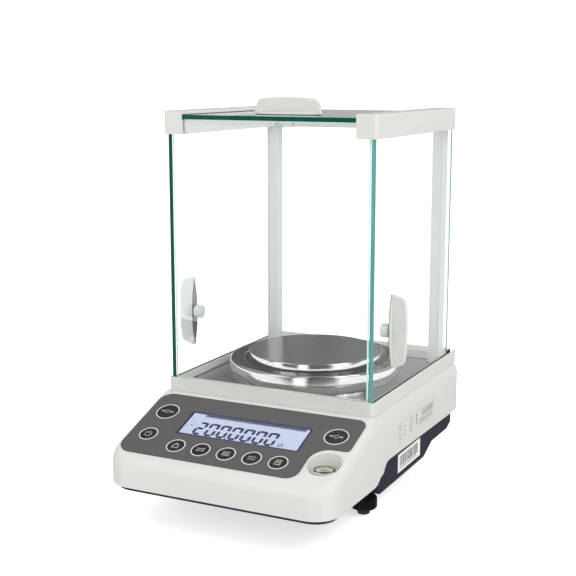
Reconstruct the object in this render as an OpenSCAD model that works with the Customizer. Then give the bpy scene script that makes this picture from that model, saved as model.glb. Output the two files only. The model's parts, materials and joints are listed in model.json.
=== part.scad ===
// Analytical balance with a sliding-door glass draught shield.
// Origin: centre of the footprint at the surface it stands on. +X right, +Y back, +Z up.

/* [Housing] */
// Width of the white upper housing
body_w = 186.5; // [180:0.5:195]
// Depth of the housing, console included
body_l = 284; // [280:1:290]
// Height of the housing's flat deck above the table
deck_z = 82.2; // [82:0.1:86]
// How far the console reaches in front of the shield base
console_l = 88; // [86:0.5:92]
// Tilt of the console face
console_tilt = 19.7; // [19:0.1:20.5]
// Wall thickness of the mouldings
wall = 2.5; // [2:0.1:3]

/* [Draught shield] */
// Width of the shield base
shield_w = 177.5; // [177:0.1:178]
// Depth of the shield base
shield_l = 193.9; // [193:0.1:195]
// Thickness of the shield base
shield_h = 10.8; // [10.5:0.1:12]
// Free height between the shield base and the top rails
chamber_h = 194.3; // [180:0.1:210]
// Width of each top side rail
rail_w = 16.3; // [16:0.1:17]
// Height of the top rails
rail_h = 17.8; // [17.5:0.1:19]
// Length of the top side rails
rail_l = 176.8; // [176:0.1:178]
// Thickness of the glass
glass_t = 3.4; // [3:0.1:3.6]

/* [Weighing] */
// Diameter of the weighing pan
pan_d = 110; // [100:1:112]
// Outer diameter of the draught ring
ring_d = 142; // [141:0.5:143]
// Distance of the pan's centre behind the shield base's front
pan_back = 87.7; // [87:0.1:90]

/* [Console] */
// Outer diameter of the ring round a large key
big_key_d = 18.8; // [18:0.1:19.5]
// Outer diameter of the ring round a small key
small_key_d = 15.1; // [14.5:0.1:15.5]
// Spacing of the small keys in the row
key_pitch = 21.35; // [21:0.05:21.5]
// Travel of a key
key_travel = 0.8; // [0.5:0.1:0.8]

/* [Handles and feet] */
// Length of a door handle
handle_l = 57; // [50:1:60]
// How far a door handle stands out from the glass
handle_h = 13.5; // [12:0.5:15]
// Distance of the handles behind the shield base's front
handle_back = 37; // [36:0.5:40]
// Diameter of the levelling wheels
wheel_d = 20.8; // [18:0.2:22]

/* [Hidden] */
$fn = 64;
eps = 0.01;
gap = 0.4;

// Levels and stations
front_y = -body_l / 2;
rear_y = body_l / 2;
shield_y = front_y + console_l;
base_top = deck_z + shield_h;
rail_z = base_top + chamber_h;
pan_y = shield_y + pan_back;
handle_y = shield_y + handle_back;
slope_z = deck_z + 1.3;
body_x = body_w / 2;
shield_x = shield_w / 2;

// Draught shield
groove_in = 83.1;
groove_w = 4.4;
groove_d = 4.5;
door_in = groove_in + 0.5;
door_out = door_in + glass_t;
door_y0 = shield_y + 3;
door_l = 170;
recess_x = 82;
recess_y0 = shield_y + 7.5;
recess_y1 = shield_y + 170.6;
floor_z = base_top - 7.3;
floor_t = 1;
pad_x = 71.4;
post_w = 9.5;
post_d = 11;
post_out = 81.3;
post_y = shield_y + 160.2;
rail_y0 = shield_y - 0.7;
rail_in = shield_x + 0.25 - rail_w;
rail_rear_h = 10.9;
top_glass_z = rail_z + 11.5;
front_glass_y = shield_y + 2;
rear_glass_y = shield_y + 171.4;
fixed_t = glass_t - 0.2;

// Console, in the face's own plane: x across, s down the slope from the shield base
tare_x = 72;
tare_s = 30.5;
power_s = 60;
row_s = 68.7;
overlay_x = 88.2;
overlay_t = 0.6;
lcd_w = 102.6;
lcd_s0 = 25.2;
lcd_s1 = 54;
well_x = 75.6;
well_s = 61;
well_r = 12.4;
well_y = shield_y - well_s * cos(console_tilt);
well_z = 57;
board_h = -8.4;

// name, x, s, ring diameter
KEYS = [["key_tare_left", -tare_x, tare_s, big_key_d], ["key_tare_right", tare_x, tare_s, big_key_d],
    ["key_power", -tare_x, power_s, small_key_d], ["key_calibrate", -2 * key_pitch, row_s, small_key_d],
    ["key_convert", -key_pitch, row_s, small_key_d], ["key_menu", 0, row_s, small_key_d],
    ["key_count", key_pitch, row_s, small_key_d], ["key_print", 2 * key_pitch, row_s, small_key_d]];

// Bottom housing and feet
tray_x = 89;
tray_y0 = front_y + 5;
tray_y1 = rear_y - 4;
tray_z = 27;
deep_z = 18;
tray_top = 48;
foot_x = 75;
foot_y = shield_y + 17;
rear_foot_x = 52;
rear_foot_y = shield_y + 165;
pad_top = 4.2;
wheel_z = 4.5;
wheel_h = 10;
stud_r = 3;
BOSSES = [[-68, front_y + 12], [68, front_y + 12], [-78, rear_y - 52], [78, rear_y - 52]];
boss_split = 44;
inlet_x = -58;
port_x = -22;
rear_port_z = 60;

white = [0.89, 0.89, 0.87];
navy = [0.19, 0.19, 0.26];
steel = [0.75, 0.76, 0.78];
dark = [0.15, 0.15, 0.16];
clear_glass = [0.75, 0.92, 0.88, 0.35];
alloy = [0.72, 0.73, 0.75];

// ---------- shared shapes ----------

function arc(c, r, a0, a1, n) =
    [for (i = [0:n]) [c[0] + r * cos(a0 + (a1 - a0) * i / n), c[1] + r * sin(a0 + (a1 - a0) * i / n)]];

// A block from corner to corner
module block(a, b) {
    translate(a) cube(b - a);
}

// A (y, z) outline drawn out along X, centred
module along_x(width, outline) {
    rotate([90, 0, 90]) linear_extrude(height = width, center = true) polygon(outline);
}

// A block with round upright corners: radius rf at the front, rr at the back
module round_plan(x, y0, y1, z0, z1, rf, rr) {
    block([-x, y0 + rf, z0], [x, y1 - rr, z1]);
    block([rf - x, y0, z0], [x - rf, y0 + rf + eps, z1]);
    block([rr - x, y1 - rr - eps, z0], [x - rr, y1, z1]);
    for (side = [-1, 1]) {
        translate([side * (x - rf), y0 + rf, z0]) cylinder(h = z1 - z0, r = rf);
        translate([side * (x - rr), y1 - rr, z0]) cylinder(h = z1 - z0, r = rr);
    }
}

// Places things on the console face: x across, y up the slope, z out of it
module on_face(x = 0, s = 0, h = 0) {
    translate([0, shield_y, slope_z]) rotate([console_tilt, 0, 0]) translate([x, -s, h]) children();
}

module ring(r1, r0, h) {
    difference() {
        cylinder(h = h, r = r1);
        translate([0, 0, -1]) cylinder(h = h + 2, r = r0);
    }
}

// ---------- housing ----------

// The height of the console's outer face at a station y
function face_z(y) = slope_z + (y - shield_y) * tan(console_tilt);

// Lower edge of the upper housing: a skirt in front, an arch over the dark bottom along the sides
SKIRT = concat([[front_y, 30.5], [shield_y - 10, 29.7]],
    arc([shield_y - 4, 41.7], 12, -90, -40, 5),
    arc([shield_y + 24, 30.5], 13, 155, 95, 5),
    [[rear_y, 40.3]]);

function housing_outline() = concat(SKIRT,
    arc([rear_y - 4, deck_z - 4], 4, 0, 90, 4),
    [[shield_y - 3.6, deck_z]],
    arc([front_y + 7, face_z(front_y + 7) - 7 / cos(console_tilt)], 7, 90 + console_tilt, 180, 5));

function cavity_outline() = [[front_y + wall, 0], [rear_y - wall, 0], [rear_y - wall, deck_z - wall],
    [shield_y - 3, deck_z - wall], [front_y + wall, face_z(front_y + wall) - wall / cos(console_tilt)]];

module housing_solid() {
    intersection() {
        along_x(body_w + 2, housing_outline());
        round_plan(body_x, front_y, rear_y, 0, 100, 20, 14);
    }
}

module upper_housing() {
    color(white) difference() {
        union() {
            difference() {
                housing_solid();
                intersection() {
                    along_x(body_w, cavity_outline());
                    round_plan(body_x - wall, front_y + wall, rear_y - wall, -1, 100, 18, 12);
                }
            }
            intersection() {
                housing_solid();
                union() {
                    translate([well_x, well_y, well_z - 2]) cylinder(h = 40, r = well_r + 2);
                    for (b = BOSSES) translate([b[0], b[1], boss_split]) cylinder(h = 60, r = 4);
                }
            }
        }
        translate([well_x, well_y, well_z]) cylinder(h = 40, r = well_r);
        translate([well_x, well_y, well_z - 5]) cylinder(h = 10, r = 9);
        translate([0, pan_y, deck_z - 10]) cylinder(h = 20, r = 22);
        for (b = BOSSES) translate([b[0], b[1], boss_split - 1]) cylinder(h = 11, r = 1.3);
        on_face() block([-lcd_w / 2 + 3, -lcd_s1 + 3, -10], [lcd_w / 2 - 3, -lcd_s0 - 3, 5]);
        for (k = KEYS) on_face(k[1], k[2], -6) cylinder(h = 12, r = k[3] / 2 - 0.85);
        translate([inlet_x, rear_y + 5, rear_port_z]) rotate([90, 0, 0]) cylinder(h = 20, r = 5.6);
        block([port_x - 9, rear_y - 10, rear_port_z - 5.2], [port_x + 9, rear_y + 5, rear_port_z + 5.2]);
    }
}

function tray_outline(d) = [[tray_y0 + d, tray_z + d], [shield_y + 10 + d, tray_z + d],
    [shield_y + 14.7 + d, deep_z + d], [shield_y + 113 - d, deep_z + d],
    [shield_y + 133 - d, tray_z + d - 1], [shield_y + 172, tray_z + d - 1],
    [tray_y1 - d - 1.5, 33 + d], [tray_y1 - d, 41], [tray_y1 - d, tray_top + d], [tray_y0 + d, tray_top + d]];

module bottom_housing() {
    color(navy) difference() {
        union() {
            difference() {
                intersection() {
                    along_x(2 * tray_x, tray_outline(0));
                    round_plan(tray_x, tray_y0, tray_y1, 0, tray_top, 16, 12);
                }
                intersection() {
                    along_x(2 * tray_x, tray_outline(wall));
                    round_plan(tray_x - wall, tray_y0 + wall, tray_y1 - wall, 0, 60, 14, 10);
                }
            }
            for (b = BOSSES) translate([b[0], b[1], tray_z]) cylinder(h = boss_split - tray_z, r = 4);
            for (side = [-1, 1]) translate([side * foot_x, foot_y, deep_z]) cylinder(h = 12, r = 7.5);
        }
        for (b = BOSSES) {
            translate([b[0], b[1], 0]) cylinder(h = 60, r = 1.8);
            translate([b[0], b[1], 0]) cylinder(h = tray_z + 6, r = 3.2);
        }
        for (side = [-1, 1]) translate([side * foot_x, foot_y, 0]) cylinder(h = 40, r = 5);
    }
}

module foot_inserts() {
    color("goldenrod") for (side = [-1, 1])
        translate([side * foot_x, foot_y, deep_z]) ring(5, stud_r + 0.06, 12);
}

module rear_feet() {
    color(dark) for (side = [-1, 1]) translate([side * rear_foot_x, rear_foot_y, 0]) {
        cylinder(h = 5, r1 = 7, r2 = 8);
        translate([0, 0, 5]) cylinder(h = tray_z - 6, r = 8);
    }
}

module housing_screws() {
    color("silver") for (b = BOSSES) translate([b[0], b[1], tray_z + 6 - 2.2]) {
        cylinder(h = 2.2, r = 2.9);
        cylinder(h = 16, r = 1.3);
    }
}

// ---------- console ----------

// The overlay's outline: a rounded panel with its lower right corner cut away round the level well
OVERLAY = concat(arc([overlay_x - 8, -15], 8, 0, 90, 6), arc([10 - overlay_x, -17], 10, 90, 180, 6),
    arc([12 - overlay_x, -71.2], 12, 180, 270, 6), arc([53, -74.2], 9, 270, 360, 6),
    arc([well_x + 0.4, -well_s + 1.6], 14.2, 178, 92, 8), arc([overlay_x - 3.5, -41.5], 3.5, 270, 360, 4));

module control_overlay() {
    color([0.38, 0.37, 0.37]) on_face() difference() {
        linear_extrude(height = overlay_t) polygon(OVERLAY);
        block([-lcd_w / 2, -lcd_s1, -1], [lcd_w / 2, -lcd_s0, 2]);
        for (k = KEYS) translate([k[1], -k[2], -1]) cylinder(h = 4, r = k[3] / 2 - 0.85);
    }
}

module key_rings() {
    color("gainsboro") for (k = KEYS) on_face(k[1], k[2], overlay_t) ring(k[3] / 2, k[3] / 2 - 0.85, 0.25);
}

// A key: a cap through the face, with a flange behind it that keeps it in
module key_cap(k) {
    color([0.05, 0.05, 0.06]) on_face(k[1], k[2]) {
        translate([0, 0, -4.2]) cylinder(h = 4.2 + overlay_t + 0.4, r = k[3] / 2 - 1.2);
        translate([0, 0, -4.2]) cylinder(h = 0.9, r = k[3] / 2);
    }
}

module keypad_board() {
    color("darkgreen") on_face() {
        block([-84, -44, board_h], [84, -17, board_h + 1.6]);
        block([-84, -77, board_h], [57, -44 + eps, board_h + 1.6]);
        for (k = KEYS) translate([k[1], -k[2], board_h + 1.6]) cylinder(h = 1.4, r = 2);
    }
}

module display_window() {
    color([0.8, 0.85, 0.95, 0.4]) on_face()
        block([-lcd_w / 2, -lcd_s1, 0], [lcd_w / 2, -lcd_s0, overlay_t]);
}

module display_module() {
    color([0.75, 0.79, 0.9]) on_face() {
        block([-lcd_w / 2 + 3.2, -lcd_s1 + 3.2, -3], [lcd_w / 2 - 3.2, -lcd_s0 - 3.2, -0.2]);
        block([-lcd_w / 2, -lcd_s1, board_h + 1.6], [lcd_w / 2, -lcd_s0, -3]);
    }
}

module level_ring() {
    color([0.35, 0.36, 0.3]) translate([well_x, well_y, well_z - 5]) difference() {
        union() {
            cylinder(h = 5.4, r = 8.9);
            translate([0, 0, 5]) cylinder(h = 1, r = 10.6);
        }
        translate([0, 0, 1.2]) cylinder(h = 10, r = 7.9);
    }
}

module level_vial() {
    color([0.85, 0.95, 0.7, 0.5]) translate([well_x, well_y, well_z - 3.8]) difference() {
        cylinder(h = 6, r = 7.8);
        translate([0, 0, 1]) cylinder(h = 4, r = 6.4);
    }
}

module level_bubble() {
    color("white") translate([well_x, well_y, well_z + 0.2]) cylinder(h = 1, r = 2.2);
}

// ---------- draught shield ----------

// The corners of the recess that stay solid under the posts, larger by d
module post_pads(d) {
    for (side = [-1, 1]) mirror([side < 0 ? 1 : 0, 0, 0])
        block([pad_x - d, post_y - 0.4 - d, floor_z - 5], [recess_x + 1, recess_y1 + 1, base_top + 2]);
}

module shield_base() {
    color(white) difference() {
        round_plan(shield_x, shield_y, shield_y + shield_l, deck_z, base_top, 3, 3);
        difference() {
            block([-recess_x, recess_y0, floor_z], [recess_x, recess_y1, base_top + 1]);
            post_pads(0);
        }
        for (side = [-1, 1]) translate([side * (groove_in + groove_w / 2), 0, base_top])
            block([-groove_w / 2, door_y0 - 0.5, -groove_d], [groove_w / 2, rear_y, 1]);
        block([-groove_in - eps, front_glass_y - 0.3, base_top - 4],
            [groove_in + eps, front_glass_y + fixed_t + 0.3, base_top + 1]);
        block([-80.3, rear_glass_y - 0.3, base_top - 4], [80.3, rear_glass_y + fixed_t + 0.3, base_top + 1]);
        translate([0, pan_y, deck_z - 1]) cylinder(h = 20, r = 15);
    }
}

module chamber_floor() {
    color([0.5, 0.5, 0.5]) difference() {
        block([-recess_x + 0.2, recess_y0 + 0.2, floor_z], [recess_x - 0.2, recess_y1 - 0.2, floor_z + floor_t]);
        post_pads(0.2);
        translate([0, pan_y, floor_z - 1]) cylinder(h = 5, r = 13);
    }
}

// A top side rail, drawn for the right-hand side
module rail(side) {
    color(white) mirror([side < 0 ? 1 : 0, 0, 0]) difference() {
        union() {
            block([rail_in, rail_y0, rail_z], [rail_in + rail_w - 3, rail_y0 + rail_l, rail_z + rail_h]);
            block([rail_in + 3, rail_y0 + 3, rail_z], [rail_in + rail_w, rail_y0 + rail_l - 3, rail_z + rail_h]);
            for (y = [rail_y0 + 3, rail_y0 + rail_l - 3])
                translate([rail_in + rail_w - 3, y, rail_z]) cylinder(h = rail_h, r = 3);
        }
        block([groove_in, door_y0 - 0.5, rail_z - 1], [groove_in + groove_w, rear_y, rail_z + groove_d + 0.2]);
        block([rail_in - 1, shield_y + 0.6, top_glass_z - gap],
            [rail_in + 3.7, rear_y, top_glass_z + glass_t + gap]);
        block([rail_in - 1, front_glass_y - 0.3, rail_z - 1],
            [groove_in + eps, front_glass_y + fixed_t + 0.3, top_glass_z - gap + eps]);
    }
}

module rail_left() {
    rail(-1);
}

module rail_right() {
    rail(1);
}

module rail_rear() {
    color(white) block([-rail_in, rail_y0 + rail_l - 16, rail_z],
        [rail_in, rail_y0 + rail_l, rail_z + rail_rear_h]);
}

module post(side) {
    color([0.78, 0.78, 0.79]) mirror([side < 0 ? 1 : 0, 0, 0]) difference() {
        block([post_out - post_w, post_y, base_top], [post_out, post_y + post_d, rail_z]);
        block([post_out - 1.9, post_y - 1, base_top - 1], [post_out - 1.1, post_y + 0.5, rail_z + 1]);
        for (z = [base_top - 1, rail_z - 11]) translate([post_out - 3.6, post_y + 8, z]) cylinder(h = 12, r = 1.3);
    }
}

module post_left() {
    post(-1);
}

module post_right() {
    post(1);
}

module frame_screws() {
    color("silver") for (side = [-1, 1]) translate([side * (post_out - 3.6), post_y + 8, base_top]) {
        cylinder(h = 10, r = 1.3);
        translate([0, 0, chamber_h - 10]) cylinder(h = 10, r = 1.3);
    }
}

module front_glass() {
    color(clear_glass)
        block([-82.5, front_glass_y, base_top - 3.8], [82.5, front_glass_y + fixed_t, top_glass_z - 0.6]);
}

module rear_glass() {
    color(clear_glass) block([1.4 - post_out, rear_glass_y, base_top - 3.8],
        [post_out - 1.4, rear_glass_y + fixed_t, rail_z - 0.2]);
}

// ---------- doors ----------

// Handle outline: x along the glass, y away from it, round-cornered with a bowed edge
function fin_outline() = let (a = handle_l / 2, h = handle_h, r = 6)
    concat([[-a, 1], [a, 1]], arc([a - r - 1.5, h - r - 1], r, 8, 80, 6),
        [for (i = [-2:2]) [-i * a / 4, h - 0.25 * i * i / 4]], arc([r + 1.5 - a, h - r - 1], r, 100, 172, 6));

// A lens as long as the handle
module lens(width, h) {
    r = (handle_l * handle_l / 4 + width * width / 4) / width;
    intersection() {
        translate([0, r - width / 2, 0]) cylinder(h = h, r = r, $fn = 128);
        translate([0, width / 2 - r, 0]) cylinder(h = h, r = r, $fn = 128);
    }
}

// One handle set on a pane lying at z 0 with its back at -glass_t; the handle runs along X
module handle_pad() {
    color(dark) difference() {
        lens(10, 0.8);
        translate([0, 0, -1]) cylinder(h = 4, r = 2);
    }
}

module handle_body() {
    color(white) {
        translate([0, 0, 0.8]) lens(9, 1.6);
        translate([0, 1.75, 0]) rotate([90, 0, 0]) linear_extrude(height = 3.5) polygon(fin_outline());
        translate([0, 0, -glass_t - 2]) cylinder(h = glass_t + 4, r = 1.9);
    }
}

module handle_nut() {
    color(white) translate([0, 0, -glass_t - 6]) difference() {
        cylinder(h = 6, r = 5.25);
        translate([0, 0, 3]) cylinder(h = 10, r = 1.9);
    }
}

// Places a handle set on its door
module on_door(door) {
    if (door == "top") translate([0, handle_y, top_glass_z + glass_t]) children();
    else mirror([door == "left" ? 1 : 0, 0, 0])
        translate([door_out, handle_y, base_top + 48]) rotate([0, 90, 0]) children();
}

module side_glass(side) {
    color(clear_glass) mirror([side < 0 ? 1 : 0, 0, 0]) difference() {
        block([door_in, door_y0, base_top - 4], [door_out, door_y0 + door_l, rail_z + 4.2]);
        translate([door_in - 1, handle_y, base_top + 48]) rotate([0, 90, 0]) cylinder(h = 8, r = 2);
    }
}

module left_door_glass() {
    side_glass(-1);
}

module right_door_glass() {
    side_glass(1);
}

module top_door_glass() {
    color(clear_glass) difference() {
        block([-rail_in - 3.3, shield_y + 1, top_glass_z], [rail_in + 3.3, shield_y + 172.5, top_glass_z + glass_t]);
        translate([0, handle_y, top_glass_z - 1]) cylinder(h = 8, r = 2);
    }
}

// ---------- weighing ----------

// Ring section: a lower tier, a wider upper tier with a rolled edge, a top that falls inwards
module draught_ring() {
    r = ring_d / 2;
    z = floor_z + floor_t + 0.3;
    t = 1.2;
    color(steel) translate([0, pan_y, z]) rotate_extrude($fn = 128) polygon(concat(
        [[r - 1, 0], [r - 1, 6.4], [r, 6.8]], arc([r - 3.2, 11.3], 3.2, 0, 80, 6),
        [[r - 12.4, 13.2], [r - 13, 12.8], [r - 13, 9.5], [r - 13 + t, 9.5], [r - 13 + t, 12]],
        arc([r - 3.2, 11.1], 2, 80, 0, 5), [[r - t, 7.6], [r - 1 - t, 7.2], [r - 1 - t, 0]]));
}

module weighing_pan() {
    r = pan_d / 2;
    t = 1.2;
    top = base_top + 14.2;
    color(steel) translate([0, pan_y, top]) {
        rotate_extrude($fn = 128) polygon(concat([[0, 0], [r - 1, 0]], arc([r - 1, -1], 1, 80, 0, 3),
            [[r, -4.6], [r - 1.4, -5.9], [r - 2.2, -5.4], [r - t, -4.2], [r - t, -t], [0, -t]]));
        translate([0, 0, -15]) difference() {
            cylinder(h = 14, r = 8);
            translate([0, 0, -1]) cylinder(h = 12.6, r = 5.08);
        }
    }
}

module pan_carrier() {
    color(alloy) {
        block([-24, pan_y - 8, 35], [24, pan_y + 8, 66]);
        translate([0, pan_y, 66 - eps]) cylinder(h = base_top - 5 - 66, r = 9);
        translate([0, pan_y, base_top - 6]) cylinder(h = 16.5, r = 5);
    }
}

// Cell: a cast base with a tower, two parallel guides to the pan carrier, a lever and a magnet
tower_y0 = pan_y - 70;
tower_y1 = tower_y0 + 36;
coil_y = tower_y0 + 18;

module cell_base() {
    color(alloy) difference() {
        union() {
            block([-30, tower_y0, deep_z + wall], [30, pan_y + 16, 29]);
            block([-30, tower_y0, 28], [30, tower_y1, 70]);
        }
        translate([0, coil_y, 34]) cylinder(h = 60, r = 14.2);
        block([-5, coil_y, 52.5], [5, tower_y1 + 1, 80]);
    }
}

module cell_magnet() {
    color("dimgray") translate([0, coil_y, 34]) difference() {
        cylinder(h = 18, r = 14);
        translate([0, 0, 8]) ring(11.2, 7.8, 20);
    }
}

module cell_lever() {
    color(alloy) {
        block([-4, coil_y - 4, 55], [4, pan_y - 8.6, 60]);
        translate([0, coil_y, 44]) ring(10.6, 8.6, 11);
        translate([0, coil_y, 55 - eps]) cylinder(h = 2, r = 10.6);
    }
}

module cell_guides() {
    color("silver") for (z = [36, 63.5]) difference() {
        block([-24, tower_y1, z], [24, pan_y - 8, z + 2]);
        block([-14, tower_y1 + 6, z - 1], [14, pan_y - 14, z + 4]);
    }
}

module main_board() {
    color("darkgreen") {
        block([-58, front_y + 20, tray_z + wall], [58, shield_y - 10, tray_z + wall + 1.6]);
        for (x = [-38, -8, 26]) color("black")
            block([x, front_y + 34, tray_z + wall + 1.6], [x + 16, front_y + 50, tray_z + wall + 4]);
    }
}

// ---------- back ----------

module dc_inlet() {
    color(dark) translate([inlet_x, rear_y - 0.5, rear_port_z]) rotate([90, 0, 0]) {
        difference() {
            union() {
                cylinder(h = 14, r = 5.5);
                translate([0, 0, 2]) cylinder(h = 2, r = 7.5);
            }
            translate([0, 0, -1]) cylinder(h = 11, r = 2.8);
        }
        cylinder(h = 12, r = 1);
    }
}

module serial_port() {
    color("silver") difference() {
        union() {
            block([port_x - 8.8, rear_y - 9, rear_port_z - 5], [port_x + 8.8, rear_y - 0.3, rear_port_z + 5]);
            block([port_x - 15, rear_y - 4.5, rear_port_z - 6.2], [port_x + 15, rear_y - wall, rear_port_z + 6.2]);
        }
        block([port_x - 7.8, rear_y - 5, rear_port_z - 4], [port_x + 7.8, rear_y + 1, rear_port_z + 4]);
    }
}

module rating_label() {
    color([0.93, 0.93, 0.92]) block([body_x, shield_y + 39.5, 51], [body_x + 0.2, shield_y + 127, 67]);
}

module stock_label() {
    color("white") block([tray_x, shield_y + 52.5, 22.6], [tray_x + 0.2, shield_y + 103, 37.6]);
}

// ---------- levelling feet ----------

module foot_pad(side) {
    color(dark) translate([side * foot_x, foot_y, 0]) {
        cylinder(h = pad_top, r = 4.8);
        cylinder(h = 7, r = 1.5);
    }
}

module foot_wheel(side) {
    color(dark) translate([side * foot_x, foot_y, wheel_z]) difference() {
        union() {
            cylinder(h = wheel_h, r = wheel_d / 2);
            cylinder(h = 26, r = stud_r);
        }
        translate([0, 0, -1]) cylinder(h = 4, r = 1.55);
        for (i = [0:19]) rotate(i * 18) translate([wheel_d / 2 + 0.5, 0, -1]) cylinder(h = wheel_h + 2, r = 1.1, $fn = 16);
    }
}

upper_housing();
bottom_housing();
shield_base();
chamber_floor();
control_overlay();
key_rings();
display_window();
display_module();
level_ring();
level_vial();
level_bubble();
rail_left();
rail_right();
rail_rear();
post_left();
post_right();
front_glass();
rear_glass();
frame_screws();
cell_base();
cell_magnet();
cell_lever();
cell_guides();
pan_carrier();
main_board();
keypad_board();
dc_inlet();
serial_port();
rear_feet();
foot_inserts();
housing_screws();
rating_label();
stock_label();
left_door_glass();
right_door_glass();
top_door_glass();
for (door = ["left", "right", "top"]) on_door(door) {
    handle_body();
    handle_pad();
    handle_nut();
}
weighing_pan();
draught_ring();
for (k = KEYS) key_cap(k);
foot_pad(-1);  // foot_pad_left
foot_wheel(-1);  // foot_wheel_left
foot_pad(1);  // foot_pad_right
foot_wheel(1);  // foot_wheel_right
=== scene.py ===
# %% [markdown]
# # An analytical balance
# This instrument weighs to a tenth of a milligram, so it lives in a glass case that keeps draughts off.
# The engineering model holds every part and joint. This lesson dresses that model: it rebuilds the
# moulded shells with soft edges, turns the steel, draws the display, and gives each part its finish.
# %% Load the engineering model
import json
import math
import bmesh
import bpy
from mathutils import Matrix, Vector


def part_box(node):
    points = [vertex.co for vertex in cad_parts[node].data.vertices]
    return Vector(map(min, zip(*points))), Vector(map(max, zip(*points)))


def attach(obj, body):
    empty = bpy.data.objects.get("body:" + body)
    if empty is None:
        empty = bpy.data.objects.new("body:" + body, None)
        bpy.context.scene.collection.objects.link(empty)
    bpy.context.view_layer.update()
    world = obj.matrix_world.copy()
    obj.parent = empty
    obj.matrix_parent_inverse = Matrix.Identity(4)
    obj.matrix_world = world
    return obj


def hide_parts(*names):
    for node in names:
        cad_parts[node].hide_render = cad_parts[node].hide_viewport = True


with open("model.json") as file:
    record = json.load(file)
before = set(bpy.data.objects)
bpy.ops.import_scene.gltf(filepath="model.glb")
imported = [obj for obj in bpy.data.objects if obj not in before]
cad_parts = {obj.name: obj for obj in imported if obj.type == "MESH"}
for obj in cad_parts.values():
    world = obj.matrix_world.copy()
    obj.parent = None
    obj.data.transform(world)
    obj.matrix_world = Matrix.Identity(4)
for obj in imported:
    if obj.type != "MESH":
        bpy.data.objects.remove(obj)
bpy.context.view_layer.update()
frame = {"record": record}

MM = 0.001
SLOT = {part["node"]: part["material_slot"] for part in frame["record"]["subparts"]}
BODY = {node: body for body, nodes in frame["record"]["behaviour"]["bodies"].items() for node in nodes}
print("bodies:", len(set(BODY.values())), "nodes:", len(SLOT))

# %% [markdown]
# ## Camera
# A long lens from some way off keeps the upright edges of the case upright, where a near one would spread
# them. The camera stands to the right, a little above the glass case, and looks down by ten degrees or so.
# %% Camera
LENS_MM = 71.82
CAMERA_AT = (0.3966, -0.8157, 0.3330)
CAMERA_DOWN = 10.55
CAMERA_LEFT = 26.41
camera_data = bpy.data.cameras.new("studio_camera")
camera_data.lens = LENS_MM
camera_data.sensor_width = 36
camera = bpy.data.objects.new("studio_camera", camera_data)
camera.location = CAMERA_AT
camera.rotation_euler = (math.radians(90 - CAMERA_DOWN), 0, math.radians(CAMERA_LEFT))
bpy.context.scene.collection.objects.link(camera)
bpy.context.scene.camera = camera
bpy.context.scene.view_settings.view_transform = "Standard"
print("camera at", tuple(camera.location))


# %% [markdown]
# ## Node helpers
# Materials and skies are trees of nodes. These short functions add a node, wire it, and hand back the
# socket that the next node needs, so that each later cell reads like a recipe.
# %% Add, wire and ramp
def add_node(tree, kind, **settings):
    node = tree.nodes.new(kind)
    for name, value in settings.items():
        setattr(node, name, value)
    return node


def wire(tree, source, target):
    tree.links.new(source, target)


def ramp(tree, factor, stops):
    """A colour ramp; a stop is a place and a grey, or a place and a colour."""
    node = add_node(tree, "ShaderNodeValToRGB")
    wire(tree, factor, node.inputs["Fac"])
    elements = node.color_ramp.elements
    while len(elements) < len(stops):
        elements.new(0.5)
    for element, (place, shade) in zip(elements, stops):
        element.position = place
        element.color = (*shade, 1) if isinstance(shade, tuple) else (shade, shade, shade, 1)
    return node.outputs["Color"]


# %% Maths and mixes
def math_node(tree, operation, *values):
    """A maths node whose inputs are numbers or sockets."""
    node = add_node(tree, "ShaderNodeMath", operation=operation)
    for socket, value in zip(node.inputs, values):
        if isinstance(value, (int, float)):
            socket.default_value = value
        else:
            wire(tree, value, socket)
    return node.outputs[0]


def mix_colours(tree, share, first, second, blend="MIX"):
    """Two colours mixed; the share of the second is a number or a socket."""
    node = add_node(tree, "ShaderNodeMixRGB", blend_type=blend)
    if isinstance(share, (int, float)):
        node.inputs["Fac"].default_value = share
    else:
        wire(tree, share, node.inputs["Fac"])
    wire(tree, first, node.inputs["Color1"])
    wire(tree, second, node.inputs["Color2"])
    return node.outputs["Color"]


def mix_shaders(tree, share, first, second):
    """Two shaders or two skies mixed, with a share of the second."""
    node = add_node(tree, "ShaderNodeMixShader")
    for socket, source in zip(node.inputs, (share, first, second)):
        wire(tree, source, socket)
    return node.outputs[0]


print("node helpers ready")

# %% [markdown]
# ## Light
# A white instrument looks best on a white sweep with almost no shadow, but it needs something dark
# for the steel to mirror, or chrome looks like paper. So the sky is plain white for whatever it lights,
# and only mirror reflections see a studio with grey walls and three bright panels.
# %% The studio that mirrors see
world = bpy.data.worlds.new("studio")
bpy.context.scene.world = world
world.use_nodes = True
sky = world.node_tree
sky.nodes.clear()
HEIGHT_STOPS = [(0.0, 0.8), (0.53, 0.95), (0.56, 0.42), (0.605, 0.23), (0.63, 0.13), (0.68, 0.2),
    (0.74, 0.5), (0.82, 0.9), (1.0, 0.5)]
PANELS = [(0.0, 0.5), (0.06, 0.05), (0.10, 0.12), (0.12, 2.0), (0.15, 2.0), (0.17, 0.05), (0.235, 0.12),
    (0.25, 1.9), (0.28, 1.9), (0.30, 0.04), (0.39, 0.10), (0.42, 1.8), (0.49, 1.6), (0.52, 0.25),
    (0.60, 0.25), (0.71, 0.3), (0.77, 0.48), (0.87, 0.5), (1.0, 0.5)]


def spread(source, low, high):
    """The value as a share of the way from low to high."""
    node = add_node(sky, "ShaderNodeMapRange")
    node.inputs["From Min"].default_value = low
    node.inputs["From Max"].default_value = high
    wire(sky, source, node.inputs["Value"])
    return node.outputs["Result"]


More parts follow.
